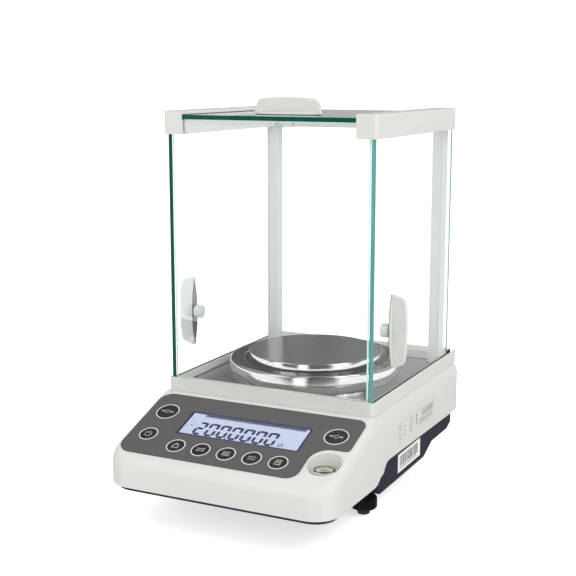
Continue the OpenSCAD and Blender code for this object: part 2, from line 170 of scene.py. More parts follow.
split = add_node(sky, "ShaderNodeSeparateXYZ")
wire(sky, add_node(sky, "ShaderNodeTexCoord").outputs["Generated"], split.inputs["Vector"])
by_height = ramp(sky, spread(split.outputs["Z"], -1, 1), HEIGHT_STOPS)
turn = math_node(sky, "ARCTAN2", split.outputs["Y"], split.outputs["X"])
by_turn = ramp(sky, spread(turn, -math.pi, math.pi), PANELS)
studio = mix_colours(sky, 1, by_height, by_turn, "MULTIPLY")
print("studio stops:", len(HEIGHT_STOPS), "up,", len(PANELS), "around")


# %% Which sky each ray sees
def background(strength, colour=None):
    node = add_node(sky, "ShaderNodeBackground")
    node.inputs["Strength"].default_value = strength
    node.inputs["Color"].default_value = (1, 1, 1, 1)
    if colour:
        wire(sky, colour, node.inputs["Color"])
    return node.outputs[0]


LIGHTING_SKY = 0.92
SEEN_SKY = 1.15
ray = add_node(sky, "ShaderNodeLightPath").outputs
seen = math_node(sky, "MAXIMUM", ray["Is Camera Ray"], ray["Is Transmission Ray"])
direct = mix_shaders(sky, seen, background(LIGHTING_SKY), background(SEEN_SKY))
mirrored = math_node(sky, "GREATER_THAN", ray["Glossy Depth"], 0.5)
not_diffuse = math_node(sky, "MAXIMUM", math_node(sky, "SUBTRACT", mirrored, ray["Is Diffuse Ray"]), 0)
shown = mix_shaders(sky, not_diffuse, direct, background(1.0, studio))
wire(sky, shown, add_node(sky, "ShaderNodeOutputWorld").inputs["Surface"])
print("sky nodes:", len(sky.nodes))


# %% Softboxes
def softbox(name, place, aim, side, power):
    """A square lamp that lights the scene but isn't mirrored in it."""
    data = bpy.data.lights.new(name, "AREA")
    data.shape = "RECTANGLE"
    data.size, data.size_y = side, side
    data.energy = power
    lamp = bpy.data.objects.new(name, data)
    lamp.location = place
    lamp.rotation_euler = (Vector(aim) - Vector(place)).to_track_quat("-Z", "Y").to_euler()
    lamp.visible_glossy = False
    bpy.context.scene.collection.objects.link(lamp)
    return lamp


softbox("key_softbox", place=(1.3, -0.2, 1.5), aim=(0, 0, 0.1), side=0.9, power=12.5)
softbox("front_softbox", place=(-0.6, -1.5, 0.7), aim=(0, 0, 0.12), side=0.8, power=3.6)

# %% [markdown]
# ## Shared surface effects
# Moulded plastic isn't one flat colour: it drifts a little in tone and has a fine spark-eroded grain.
# Brushed steel has scratches that run one way. Handled edges go slightly lighter. Each effect is made
# once as a node group that puts out colours and heights, and every finish places it with its own values.
# %% Group helper
def new_group(name, inputs, outputs):
    """An empty node group with its sockets, its input node and its output node."""
    group = bpy.data.node_groups.new(name, "ShaderNodeTree")
    for label, kind, value in inputs:
        socket = group.interface.new_socket(label, in_out="INPUT", socket_type="NodeSocket" + kind)
        socket.default_value = value
    for label, kind in outputs:
        group.interface.new_socket(label, in_out="OUTPUT", socket_type="NodeSocket" + kind)
    return group, group.nodes.new("NodeGroupInput"), group.nodes.new("NodeGroupOutput")


def noise(tree, vector, scale, detail=2.0):
    node = add_node(tree, "ShaderNodeTexNoise")
    wire(tree, vector, node.inputs["Vector"])
    node.inputs["Detail"].default_value = detail
    if isinstance(scale, (int, float)):
        node.inputs["Scale"].default_value = scale
    else:
        wire(tree, scale, node.inputs["Scale"])
    return node.outputs["Fac"]


def varied(tree, source, swing, middle):
    """Middle, plus or minus the source's distance from a half times swing."""
    centred = math_node(tree, "SUBTRACT", source, 0.5)
    return math_node(tree, "ADD", math_node(tree, "MULTIPLY", centred, swing), middle)


def tinted(tree, colour, amount):
    """The colour, made lighter or darker by amount."""
    node = add_node(tree, "ShaderNodeVectorMath", operation="SCALE")
    wire(tree, colour, node.inputs[0])
    wire(tree, amount, node.inputs["Scale"])
    return node.outputs[0]


# %% Moulded grain
DRIFT_SCALE = 14.0
GRAIN_GLOSS_SWING = 0.16
grain_group, into, out = new_group("moulded_grain",
    [("Colour", "Color", (0.8, 0.8, 0.8, 1)), ("Grain", "Float", 2500.0), ("Drift", "Float", 0.03),
        ("Roughness", "Float", 0.4)],
    [("Colour", "Color"), ("Roughness", "Float"), ("Height", "Float")])
spot = add_node(grain_group, "ShaderNodeTexCoord").outputs["Object"]
fine = noise(grain_group, spot, into.outputs["Grain"], 3)
tone = varied(grain_group, noise(grain_group, spot, DRIFT_SCALE, 2), into.outputs["Drift"], 1.0)
wire(grain_group, tinted(grain_group, into.outputs["Colour"], tone), out.inputs["Colour"])
gloss = varied(grain_group, fine, GRAIN_GLOSS_SWING, into.outputs["Roughness"])
wire(grain_group, gloss, out.inputs["Roughness"])
wire(grain_group, fine, out.inputs["Height"])
print("moulded grain nodes:", len(grain_group.nodes))

# %% Brushed lines
BRUSH_GLOSS_SWING = 0.04
brush_group, into, out = new_group("brushed_lines",
    [("Direction", "Vector", (0, 0, 0)), ("Colour", "Color", (0.6, 0.6, 0.6, 1)), ("Contrast", "Float", 0.1),
        ("Roughness", "Float", 0.25)],
    [("Colour", "Color"), ("Roughness", "Float"), ("Height", "Float")])
lines = noise(brush_group, into.outputs["Direction"], 1.0, 4)
shade = varied(brush_group, lines, into.outputs["Contrast"], 1.0)
wire(brush_group, tinted(brush_group, into.outputs["Colour"], shade), out.inputs["Colour"])
gloss = varied(brush_group, lines, BRUSH_GLOSS_SWING, into.outputs["Roughness"])
wire(brush_group, gloss, out.inputs["Roughness"])
wire(brush_group, lines, out.inputs["Height"])
print("brushed lines nodes:", len(brush_group.nodes))

# %% Edge wear
WEAR_WIDTH = 0.0008
WEAR_SCALE = 380.0
wear_group, into, out = new_group("edge_wear",
    [("Colour", "Color", (0.1, 0.1, 0.1, 1)), ("Worn colour", "Color", (0.3, 0.3, 0.3, 1)),
        ("Amount", "Float", 0.5)],
    [("Colour", "Color"), ("Mask", "Float")])
soft_normal = add_node(wear_group, "ShaderNodeBevel", samples=4)
soft_normal.inputs["Radius"].default_value = WEAR_WIDTH
facing = add_node(wear_group, "ShaderNodeVectorMath", operation="DOT_PRODUCT")
wire(wear_group, soft_normal.outputs[0], facing.inputs[0])
wire(wear_group, add_node(wear_group, "ShaderNodeNewGeometry").outputs["Normal"], facing.inputs[1])
edge = ramp(wear_group, facing.outputs["Value"], [(0.80, 1.0), (0.97, 0.0)])
spot = add_node(wear_group, "ShaderNodeTexCoord").outputs["Object"]
broken = ramp(wear_group, noise(wear_group, spot, WEAR_SCALE, 4), [(0.42, 0.0), (0.6, 1.0)])
mask = math_node(wear_group, "MULTIPLY", edge, broken)
mask = math_node(wear_group, "MULTIPLY", mask, into.outputs["Amount"])
worn = mix_colours(wear_group, mask, into.outputs["Colour"], into.outputs["Worn colour"])
wire(wear_group, worn, out.inputs["Colour"])
wire(wear_group, mask, out.inputs["Mask"])
print("groups:", [group.name for group in bpy.data.node_groups])

# %% [markdown]
# ## Finishes
# One short function makes each family of finish. Plastics take the grain group, metals the brushed
# group, and dark plastics the wear group on top. A number that is the same all over stays on the
# shader's own socket.
# %% Starting a finish
def new_finish(name):
    """A material with its node tree and its shader."""
    material = bpy.data.materials.new(name)
    material.use_nodes = True
    tree = material.node_tree
    return material, tree, tree.nodes["Principled BSDF"]


def use_group(tree, group, **values):
    """A node that holds the group, with its inputs set by name."""
    node = add_node(tree, "ShaderNodeGroup")
    node.node_tree = group
    for label, value in values.items():
        node.inputs[label.replace("_", " ")].default_value = value
    return node


def bump(tree, shader, height, depth):
    node = add_node(tree, "ShaderNodeBump")
    node.inputs["Distance"].default_value = depth
    node.inputs["Strength"].default_value = 1.0
    wire(tree, height, node.inputs["Height"])
    wire(tree, node.outputs["Normal"], shader.inputs["Normal"])


def coat_with(tree, shader, surface, shown, depth):
    """Wires a group's colour, roughness and height to a shader."""
    wire(tree, shown, shader.inputs["Base Color"])
    wire(tree, surface.outputs["Roughness"], shader.inputs["Roughness"])
    bump(tree, shader, surface.outputs["Height"], depth)


# %% Plastic
def plastic(name, colour, roughness, grain=2500.0, drift=0.03, depth=0.00002, worn=None, coat=0.0,
        shine=0.5):
    """Moulded plastic or rubber, with grain, drift and, if worn has a colour, handled edges."""
    material, tree, shader = new_finish(name)
    surface = use_group(tree, grain_group, Colour=(*colour, 1), Grain=grain, Drift=drift,
        Roughness=roughness)
    shown = surface.outputs["Colour"]
    if worn:
        edges = use_group(tree, wear_group, Worn_colour=(*worn, 1), Amount=0.55)
        wire(tree, shown, edges.inputs["Colour"])
        shown = edges.outputs["Colour"]
    shader.inputs["Coat Weight"].default_value = coat
    shader.inputs["Specular IOR Level"].default_value = shine
    coat_with(tree, shader, surface, shown, depth)
    return material


# %% Metal
LINES_PER_METRE = 2600.0


def metal(name, colour, roughness, stretch=(40, 4000, 40), contrast=0.12, depth=0.000004, turned=None):
    """Metal with fine lines: straight along one axis, or round a centre if turned gives (x, y)."""
    material, tree, shader = new_finish(name)
    aim = add_node(tree, "ShaderNodeMapping")
    wire(tree, add_node(tree, "ShaderNodeTexCoord").outputs["Object"], aim.inputs["Vector"])
    along = aim.outputs[0]
    if turned:
        aim.inputs["Location"].default_value = (-turned[0], -turned[1], 0)
        flat = add_node(tree, "ShaderNodeVectorMath", operation="MULTIPLY")
        flat.inputs[1].default_value = (1, 1, 0)
        wire(tree, along, flat.inputs[0])
        length = add_node(tree, "ShaderNodeVectorMath", operation="LENGTH")
        wire(tree, flat.outputs[0], length.inputs[0])
        radius = add_node(tree, "ShaderNodeCombineXYZ")
        wire(tree, math_node(tree, "MULTIPLY", length.outputs["Value"], LINES_PER_METRE), radius.inputs["X"])
        along = radius.outputs[0]
    else:
        aim.inputs["Scale"].default_value = stretch
    surface = use_group(tree, brush_group, Colour=(*colour, 1), Contrast=contrast, Roughness=roughness)
    wire(tree, along, surface.inputs["Direction"])
    shader.inputs["Metallic"].default_value = 1.0
    coat_with(tree, shader, surface, surface.outputs["Colour"], depth)
    return material


# %% Glass
def clear(name, colour, roughness=0.0, ior=1.5):
    """Glass that lets lamps through, so what is inside the case is lit."""
    material, tree, shader = new_finish(name)
    shader.inputs["Base Color"].default_value = (*colour, 1)
    shader.inputs["Roughness"].default_value = roughness
    shader.inputs["IOR"].default_value = ior
    shader.inputs["Transmission Weight"].default_value = 1.0
    path = add_node(tree, "ShaderNodeLightPath")
    passing = math_node(tree, "MAXIMUM", path.outputs["Is Shadow Ray"], path.outputs["Is Diffuse Ray"])
    through = add_node(tree, "ShaderNodeBsdfTransparent")
    through.inputs["Color"].default_value = (*colour, 1)
    shown = mix_shaders(tree, passing, shader.outputs[0], through.outputs[0])
    wire(tree, shown, tree.nodes["Material Output"].inputs["Surface"])
    return material


print("families of finish: plastic, metal, clear")

# %% [markdown]
# ## The set of finishes
# Each of the model's material slots gets its own finish. The pan and the ring are turned on a lathe, so
# their lines run round the pan's centre. The last few finishes are for printing and polished sides.
# %% The finishes
PAN_CENTRE = [(low + high) / 2 for low, high in zip(*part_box("weighing_pan"))]
TURNED = (PAN_CENTRE[0], PAN_CENTRE[1])
FINISH = {
    "housing_white": plastic("warm_white_abs", (0.685, 0.68, 0.65), 0.36, coat=0.08),
    # The tray is dark navy, made darker still so the strip of it under the skirt reads as the shadow line
    # there: part real colour, part painted shade.
    "housing_navy": plastic("navy_abs_with_painted_shade", (0.024, 0.021, 0.043), 0.45, worn=(0.05, 0.048, 0.08), shine=0.25),
    "floor_metal": metal("satin_floor_plate", (0.46, 0.455, 0.44), 0.30, stretch=(5000, 9, 9), contrast=0.03,
        depth=0.00000015),
    "overlay_grey": plastic("console_film", (0.102, 0.097, 0.100), 0.42, grain=5200.0, drift=0.05,
        shine=0.35),
    "key_trim": plastic("printed_ring", (0.70, 0.70, 0.71), 0.35, grain=4000.0),
    "display_clear": clear("display_window", (0.97, 0.98, 1.0), 0.02, 1.3),
    "level_base": plastic("level_base", (0.46, 0.455, 0.42), 0.45),
    "level_acrylic": clear("level_acrylic", (0.94, 0.935, 0.91), 0.0, 1.3),
    "post_grey": plastic("post_lacquer", (0.74, 0.735, 0.735), 0.34, drift=0.02),
    "pane_glass": clear("float_glass", (0.975, 0.995, 0.99)),
    "zinc_screw": metal("zinc_screw", (0.62, 0.62, 0.63), 0.30),
    "cell_alloy": metal("machined_alloy", (0.60, 0.61, 0.63), 0.35),
    "magnet_steel": metal("magnet_steel", (0.22, 0.22, 0.24), 0.38),
    "circuit_board": plastic("solder_mask", (0.012, 0.085, 0.035), 0.35, grain=900.0, drift=0.2),
    "black_plastic": plastic("black_plastic", (0.004, 0.004, 0.004), 0.30, worn=(0.02, 0.02, 0.02),
        shine=0.2),
    "port_steel": metal("nickel_shell", (0.58, 0.58, 0.59), 0.22),
    "foot_rubber": plastic("rubber", (0.03, 0.03, 0.031), 0.62, grain=1400.0, drift=0.2, depth=0.00005),
    "brass": metal("brass", (0.62, 0.43, 0.16), 0.28),
    "label_film": plastic("label_film", (0.68, 0.675, 0.65), 0.30, grain=4000.0),
    "label_paper": plastic("label_paper", (0.86, 0.86, 0.86), 0.55, grain=1800.0, drift=0.05),
    # The pan top's steel colour is darker than the polished sides: the turned grain is real, the extra
    # darkness is painted dark reflection.
    "pan_steel": metal("turned_pan_steel_painted_darker", (0.42, 0.42, 0.418), 0.19, contrast=0.05, depth=0.0000012,
        turned=TURNED),
    # The ring top's near-black steel colour is painted dark reflection on stainless steel; its turned grain
    # is real.
    "ring_steel": metal("turned_ring_steel_painted_dark", (0.14, 0.139, 0.138), 0.15, contrast=0.05, depth=0.0000012,
        turned=TURNED),
    "key_black": plastic("key_black", (0.012, 0.012, 0.013), 0.24, grain=3000.0, worn=(0.05, 0.05, 0.05)),
}
polished_steel = metal("polished_steel", (0.68, 0.675, 0.66), 0.07, contrast=0.03, depth=0.0000005,
    turned=TURNED)
printed_white = plastic("printed_white", (0.48, 0.48, 0.48), 0.4, grain=4000.0)
printed_grey = plastic("printed_grey", (0.07, 0.07, 0.08), 0.4, grain=4000.0)
printed_black = plastic("printed_black", (0.02, 0.02, 0.022), 0.4, grain=4000.0)
segment_navy = plastic("segment_navy", (0.009, 0.009, 0.075), 0.4, grain=4000.0, shine=0.2)
level_fluid = plastic("level_fluid", (0.66, 0.655, 0.61), 0.25, drift=0.1)
print("finishes:", len(FINISH))

# %% [markdown]
# ## Things that glow and ground glass
# The display is lit from behind through a diffuser, so it glows unevenly by a few parts in a hundred. The
# level's bubble glows too, though it is no lamp: that glow is painted light. The ground edge of a pane shows
# green, with fine upright streaks that the grinding wheel leaves, and its three tones are painted light and
# shade.
# %% Lit display panel and glass edges
def lit_panel(name, colour, strength):
    """A glowing panel with a soft cloud of light, as from lamps behind a diffuser; on the level's bubble
    this glow is painted light.
    """
    material, tree, shader = new_finish(name)
    cloud = noise(tree, add_node(tree, "ShaderNodeTexCoord").outputs["Object"], 45.0, 1)
    dimmer = tuple(0.93 * part for part in colour)
    glow = ramp(tree, cloud, [(0.3, dimmer), (0.7, colour)])
    wire(tree, glow, shader.inputs["Emission Color"])
    shader.inputs["Base Color"].default_value = (*(0.1 * part for part in colour), 1)
    shader.inputs["Emission Strength"].default_value = strength
    shader.inputs["Roughness"].default_value = 0.5
    return material


def ground_edge(name, deep, light):
    """The ground edge of a pane, where light piped along the green glass comes out; each copy's tone is
    painted light or shade.
    """
    material, tree, shader = new_finish(name)
    aim = add_node(tree, "ShaderNodeMapping")
    aim.inputs["Scale"].default_value = (500, 500, 30)
    wire(tree, add_node(tree, "ShaderNodeTexCoord").outputs["Object"], aim.inputs["Vector"])
    streaks = noise(tree, aim.outputs[0], 1.0, 3)
    wire(tree, ramp(tree, streaks, [(0.3, deep), (0.72, light)]), shader.inputs["Base Color"])
    shader.inputs["Roughness"].default_value = 0.16
    shader.inputs["Specular IOR Level"].default_value = 0.25
    bump(tree, shader, streaks, 0.00001)
    return material


FINISH["display_panel"] = lit_panel("display_backlight", (0.58, 0.635, 0.80), 0.95)
# The level's bubble is no lamp: its glow is painted light that keeps it pale.
FINISH["level_air"] = lit_panel("level_bubble", (0.84, 0.85, 0.78), 0.25)
# Lit and shaded copies of one ground edge: painted shade (dark green), painted light (teal) and a painted
# highlight (pale).
shaded_green_edge = ground_edge("shaded_green_edge", (0.001, 0.060, 0.042), (0.002, 0.088, 0.062))
lit_teal_edge = ground_edge("lit_teal_edge", (0.10, 0.29, 0.27), (0.17, 0.41, 0.38))
painted_highlight_edge = ground_edge("painted_highlight_edge", (0.55, 0.78, 0.74), (0.75, 0.92, 0.88))
print("glowing and ground finishes made")

# %% [markdown]
# ## Pieces
# A piece is a mesh that rides on one of the model's bodies and hides the parts that it stands for.
# These helpers take care of that, and of soft shading with crisp edges where two faces meet sharply.
# %% Making a piece
def piece(name, mesh, finishes, body, replaces=(), sharp=32):
    """An object from a mesh, smooth but for edges over sharp degrees, that rides on a body."""
    obj = bpy.data.objects.new(name, mesh)
    for finish in finishes:
        mesh.materials.append(finish)
    mesh.polygons.foreach_set("use_smooth", [True] * len(mesh.polygons))
    mesh.set_sharp_from_angle(angle=math.radians(sharp))
    flat_faces = obj.modifiers.new("flat_faces", "WEIGHTED_NORMAL")
    flat_faces.keep_sharp = True
    flat_faces.weight = 100
    bpy.context.scene.collection.objects.link(obj)
    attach(obj, body)
    if replaces:
        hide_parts(*replaces)
    return obj


# %% Making a mesh
TOUCHING = 0.0000005


def mesh_of(name, points, faces, place=None):
    """A mesh from points in millimetres, with its faces turned outwards."""
    mesh = bpy.data.meshes.new(name)
    shift = place or Matrix.Identity(4)
    mesh.from_pydata([shift @ (Vector(point) * MM) for point in points], [], faces)
    work = bmesh.new()
    work.from_mesh(mesh)
    bmesh.ops.recalc_face_normals(work, faces=work.faces)
    work.to_mesh(mesh)
    work.free()
    return mesh


def bridge(rows, caps=True):
    """Points and faces that join equal closed rows of points, one after the other."""
    count = len(rows[0])
    points = [point for row in rows for point in row]
    faces = []
    for row in range(len(rows) - 1):
        for i in range(count):
            j = (i + 1) % count
            faces.append((row * count + i, row * count + j, (row + 1) * count + j, (row + 1) * count + i))
    if caps:
        faces.append(tuple(range(count)))
        faces.append(tuple(range((len(rows) - 1) * count, len(rows) * count)))
    return points, faces


def arc(centre, radius, start, end, steps):
    """Points on an arc, angles in degrees."""
    angles = [math.radians(start + (end - start) * i / steps) for i in range(steps + 1)]
    return [(centre[0] + radius * math.cos(a), centre[1] + radius * math.sin(a)) for a in angles]


def weld(mesh):
    """Joins points that lie on each other, and turns every face outwards."""
    work = bmesh.new()
    work.from_mesh(mesh)
    bmesh.ops.remove_doubles(work, verts=work.verts, dist=TOUCHING)
    bmesh.ops.dissolve_degenerate(work, edges=work.edges, dist=TOUCHING)
    bmesh.ops.recalc_face_normals(work, faces=work.faces)
    work.to_mesh(mesh)
    work.free()
    return mesh


print("points closer than", TOUCHING / MM, "mm are joined")


# %% Turned parts
def lathe(name, profile, place=None, steps=128, flutes=0, flute_depth=0.0):
    """Turns a closed (radius, z) profile round Z. Points with a third value take that share of flutes."""
    rows = []
    for i in range(steps):
        a = 2 * math.pi * i / steps
        wave = flute_depth * (0.5 - 0.5 * math.cos(flutes * a)) if flutes else 0.0
        row = []
        for point in profile:
            radius = point[0] - wave * (point[2] if len(point) > 2 else 0)
            row.append((radius * math.cos(a), radius * math.sin(a), point[1]))
        rows.append(row)
    points, faces = bridge(rows + [rows[0]], caps=False)
    return weld(mesh_of(name, points, faces, place))


# %% Plates with rounded edges
def inset(outline, distance):
    """The outline moved inwards by distance, along each corner's own bisector."""
    moved = []
    for i, point in enumerate(outline):
        before, after = Vector(outline[i - 1]), Vector(outline[(i + 1) % len(outline)])
        here = Vector(point)
        first, second = (here - before).normalized(), (after - here).normalized()
        normal = Vector((-first.y - second.y, first.x + second.x))
        normal /= max(normal.length, 0.001)
        reach = distance / max(0.4, normal.dot(Vector((-first.y, first.x))))
        moved.append(tuple(here + normal * reach))
    return moved


def plate(name, outline, low, high, radius=0.3, steps=3, place=None):
    """An anticlockwise outline as a plate from z low to z high, with round edges."""
    lower = []
    for i in range(steps + 1):
        turn = math.radians(90 * i / steps)
        edge = inset(outline, radius * (1 - math.sin(turn)))
        lower.append([(x, y, low + radius * (1 - math.cos(turn))) for x, y in edge])
    upper = [[(x, y, high + low - z) for x, y, z in row] for row in reversed(lower)]
    points, faces = bridge(lower + upper)
    return mesh_of(name, points, faces, place)


# %% Softening a part of the engineering model
WELD_WIDTH = 0.03 * MM
FLAT_ANGLE = math.radians(1)
SHARP_ANGLE = math.radians(30)


def soften(node, finish, width, segments=2, suffix="shell", second=None, wide=None):
    """A copy of a part, in its place, with flat faces joined up and sharp edges rounded.

    If wide names an axis, faces that look along it take the finish and all others take the second."""
    mesh = frame_mesh(node)
    work = bmesh.new()
    work.from_mesh(mesh)
    bmesh.ops.remove_doubles(work, verts=work.verts, dist=WELD_WIDTH)
    bmesh.ops.dissolve_limit(work, angle_limit=FLAT_ANGLE, verts=work.verts, edges=work.edges)
    sharp = [e for e in work.edges if e.is_manifold and e.calc_face_angle(0) > SHARP_ANGLE]
    bmesh.ops.bevel(work, geom=sharp, offset=width * MM, segments=segments, profile=0.5, affect="EDGES",
        clamp_overlap=True)
    if wide is not None:
        for face in work.faces:
            face.material_index = 0 if abs(face.normal[wide]) > 0.99 else 1
    work.to_mesh(mesh)
    work.free()
    return piece(f"{node}_{suffix}", mesh, [finish, second] if second else [finish], BODY[node],
        (node,), sharp=35)


def frame_mesh(node):
    """A fresh mesh with the part's faces, and none of its materials or stored shading."""
    source = bpy.data.objects[node].data
    work = bmesh.new()
    work.from_mesh(source)
    mesh = bpy.data.meshes.new(node + "_copy")
    for name in list(work.loops.layers.uv.keys()):
        work.loops.layers.uv.remove(work.loops.layers.uv[name])
    work.to_mesh(mesh)
    work.free()
    for name in [a.name for a in mesh.attributes if a.name.startswith("custom_normal")]:
        mesh.attributes.remove(mesh.attributes[name])
    return mesh


print("edges over", round(math.degrees(SHARP_ANGLE)), "degrees are rounded")

# %% [markdown]
# ## Where things are
# Everything is placed from the model's own boxes. The console has its own plane: x runs across, s runs
# down the slope from the glass case, and h stands out of the face. The keys' boxes give their places on it.
# %% Landmarks in millimetres
def corners(node):
    low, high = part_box(node)
    return [value / MM for value in low], [value / MM for value in high]


HOUSING_LOW, HOUSING_HIGH = corners("upper_housing")
BASE_LOW, BASE_HIGH = corners("shield_base")
BODY_X = HOUSING_HIGH[0]
FRONT_Y, REAR_Y = HOUSING_LOW[1], HOUSING_HIGH[1]
DECK_Z, SHIELD_Y = BASE_LOW[2], BASE_LOW[1]
press = next(j for j in frame["record"]["behaviour"]["joints"] if j["name"] == "key_menu_press")
TILT = math.asin(-press["axis"][1])
CREST_RISE = 1.3
SLOPE_Z = DECK_Z + CREST_RISE
FACE = Matrix.Translation(Vector((0, SHIELD_Y, SLOPE_Z)) * MM) @ Matrix.Rotation(TILT, 4, "X")
print("console tilt", round(math.degrees(TILT), 2), "deck", round(DECK_Z, 2))


def on_face(x=0.0, s=0.0, h=0.0):
    """Places a thing on the console: its own x across, its y up the slope, its z out of the face."""
    return FACE @ Matrix.Translation(Vector((x, -s, h)) * MM)


def face_box(node):
    """A part's lowest and highest x, y and z in the console's own axes."""
    points = [FACE.inverted() @ vertex.co / MM for vertex in bpy.data.objects[node].data.vertices]
    by_axis = list(zip(*points))
    return [min(values) for values in by_axis], [max(values) for values in by_axis]


def key_place(node):
    """A key's x and s on the console, and its radius."""
    low, high = face_box(node)
    return (low[0] + high[0]) / 2, -(low[1] + high[1]) / 2, (high[0] - low[0]) / 2


KEYS = {node: key_place(node) for node in SLOT if node.startswith("key_") and node != "key_rings"}
well_low, well_high = corners("level_ring")
WELL = ((well_low[0] + well_high[0]) / 2, (well_low[1] + well_high[1]) / 2)
WELL_R = 12.4
RING_INTO_FLOOR = 5
WELL_FLOOR = well_low[2] + RING_INTO_FLOOR
print("keys:", {node: tuple(round(v, 1) for v in place) for node, place in KEYS.items()})

# %% [markdown]
# ## The upper housing
# The white housing is one thick-walled moulding: a flat deck that breaks into the sloped console, wide
# soft shoulders, and a skirt that arches up along the sides. It is lofted: for each station round the
# plan, one section runs from the skirt's lip up the wall and over the shoulder. Cutting its holes last,
# with one boolean, keeps the loft simple.
# %% Roof and skirt lines
CREST_SOFTNESS = 0.8


def roof(y, drop=0.0):
    """Height of the top surface at y: the slope, a soft crest, then the flat deck."""
    slope = SLOPE_Z + (y - SHIELD_Y) * math.tan(TILT) - drop / math.cos(TILT)
    flat = DECK_Z - drop
    blend = max(0.0, min(1.0, 0.5 + (slope - flat) / (2 * CREST_SOFTNESS)))
    return slope + (flat - slope) * blend - CREST_SOFTNESS * blend * (1 - blend)


SKIRT = ([(FRONT_Y, 30.5), (SHIELD_Y - 10, 29.7)] + arc((SHIELD_Y - 4, 41.7), 12, -90, -40, 5)
    + arc((SHIELD_Y + 24, 30.5), 13, 155, 95, 5) + [(REAR_Y, 40.3)])


def skirt(y):
    """Height of the skirt's lower edge at y, along the outline above."""
    for (y0, z0), (y1, z1) in zip(SKIRT, SKIRT[1:]):
        if y <= y1 and y1 > y0:
            return z0 + (z1 - z0) * max(0.0, (y - y0)) / (y1 - y0)
    return SKIRT[-1][1]


print("skirt from", round(skirt(FRONT_Y), 1), "to", round(skirt(REAR_Y), 1), "mm high")


# %% Plan stations
def plan(front_r, rear_r, offset):
    """Stations down the right-hand side: x, y, outward normal, and how far along front to rear it is."""
    side = []
    cx, cy = BODY_X - front_r, FRONT_Y + front_r
    for i in range(13):
        a = math.radians(-90 + 7.5 * i)
        side.append((cx, cy, front_r, math.cos(a), math.sin(a)))
    breaks = sorted({y for y, z in SKIRT if cy < y < REAR_Y - rear_r}
        | {cy + (REAR_Y - rear_r - cy) * i / 40 for i in range(1, 40)})
    side += [(cx, y, front_r, 1.0, 0.0) for y in breaks]
    for i in range(10):
        a = math.radians(10 * i)
        side.append((BODY_X - rear_r, REAR_Y - rear_r, rear_r, math.cos(a), math.sin(a)))
    return [(x + (r - offset) * nx, y + (r - offset) * ny, nx, ny) for x, y, r, nx, ny in side]


FRONT_SHOULDER = (7, 7.5)
SIDE_SHOULDER = (4.6, 9.5)
REAR_SHOULDER = (3.5, 4.5)


def shoulder(nx, ny):
    """Inset and drop of the rounded shoulder for a wall that faces (nx, ny)."""
    ends = FRONT_SHOULDER if ny < 0 else REAR_SHOULDER
    return [end + (side - end) * nx ** 2 for end, side in zip(ends, SIDE_SHOULDER)]


print("shoulders:", FRONT_SHOULDER, SIDE_SHOULDER, REAR_SHOULDER)


# %% Loft the shell
FRONT_CORNER_R = 20
REAR_CORNER_R = 14
WALL = 2.5
SHOULDER_STEPS = 8


def shell_rows(offset):
    """Rows from the skirt's lip to the top rim, for the outer skin (offset 0) or the inner one."""
    stations = plan(FRONT_CORNER_R, REAR_CORNER_R, offset)
    lip = [(0.9, 0.0), (0.3, 0.25), (0.0, 0.9)] if offset == 0 else [(0.0, 0.0)]
    rows = []
    for moved, lift in lip:
        rows.append([(x - nx * moved, y - ny * moved, skirt(y) + lift) for x, y, nx, ny in stations])
    for i in range(SHOULDER_STEPS + 1):
        a = math.radians(90 * i / SHOULDER_STEPS)
        row = []
        for x, y, nx, ny in stations:
            wide, tall = shoulder(nx, ny)
            wide = max(0.5, wide - offset)
            px, py = x - nx * wide * (1 - math.cos(a)), y - ny * wide * (1 - math.cos(a))
            row.append((px, py, roof(py, offset) - (tall - offset) * (1 - math.sin(a))))
        rows.append(row)
    return [row + [(-x, y, z) for x, y, z in reversed(row)] for row in rows]


def housing_shell():
    outer, inner = shell_rows(0), shell_rows(WALL)
    points, faces = bridge(inner[::-1] + outer, caps=False)
    count = len(outer[0])
    for start in (0, (len(outer) + len(inner) - 1) * count):
        for i in range(count // 2 - 1):
            faces.append((start + i, start + i + 1, start + count - 2 - i, start + count - 1 - i))
    return mesh_of("housing_loft", points, faces)


shell = housing_shell()
print("shell faces:", len(shell.polygons))


# %% Cutters
def joined(meshes):
    """One mesh from several."""
    work = bmesh.new()
    for mesh in meshes:
        work.from_mesh(mesh)
    result = bpy.data.meshes.new("joined")
    work.to_mesh(result)
    work.free()
    return result


def prism(name, outline, low, high, place=None):
    points, faces = bridge([[(x, y, z) for x, y in outline] for z in (low, high)])
    return mesh_of(name, points, faces, place)


def circle_points(x, y, radius, steps):
    turns = [2 * math.pi * i / steps for i in range(steps)]
    return [(x + radius * math.cos(a), y + radius * math.sin(a)) for a in turns]


def disc(radius, low, high, place=None, steps=64):
    return prism("disc", circle_points(0, 0, radius, steps), low, high, place)


def slab(low, high, place=None):
    ring = [(low[0], low[1]), (high[0], low[1]), (high[0], high[1]), (low[0], high[1])]
    return prism("slab", ring, low[2], high[2], place)


def cut(mesh, cutters):
    """The mesh with the cutters taken away, by a boolean that is applied at once."""
    body = bpy.data.objects.new("cut_body", mesh)
    tool = bpy.data.objects.new("cut_tool", joined(cutters))
    for obj in (body, tool):
        bpy.context.scene.collection.objects.link(obj)
    change = body.modifiers.new("holes", "BOOLEAN")
    change.operation = "DIFFERENCE"
    change.solver = "EXACT"
    change.object = tool
    bpy.context.view_layer.update()
    shaped = body.evaluated_get(bpy.context.evaluated_depsgraph_get())
    result = bpy.data.meshes.new_from_object(shaped)
    for obj in (body, tool):
        bpy.data.objects.remove(obj)
    return result


def upright(x, y, z=0.0):
    return Matrix.Translation(Vector((x, y, z)) * MM)


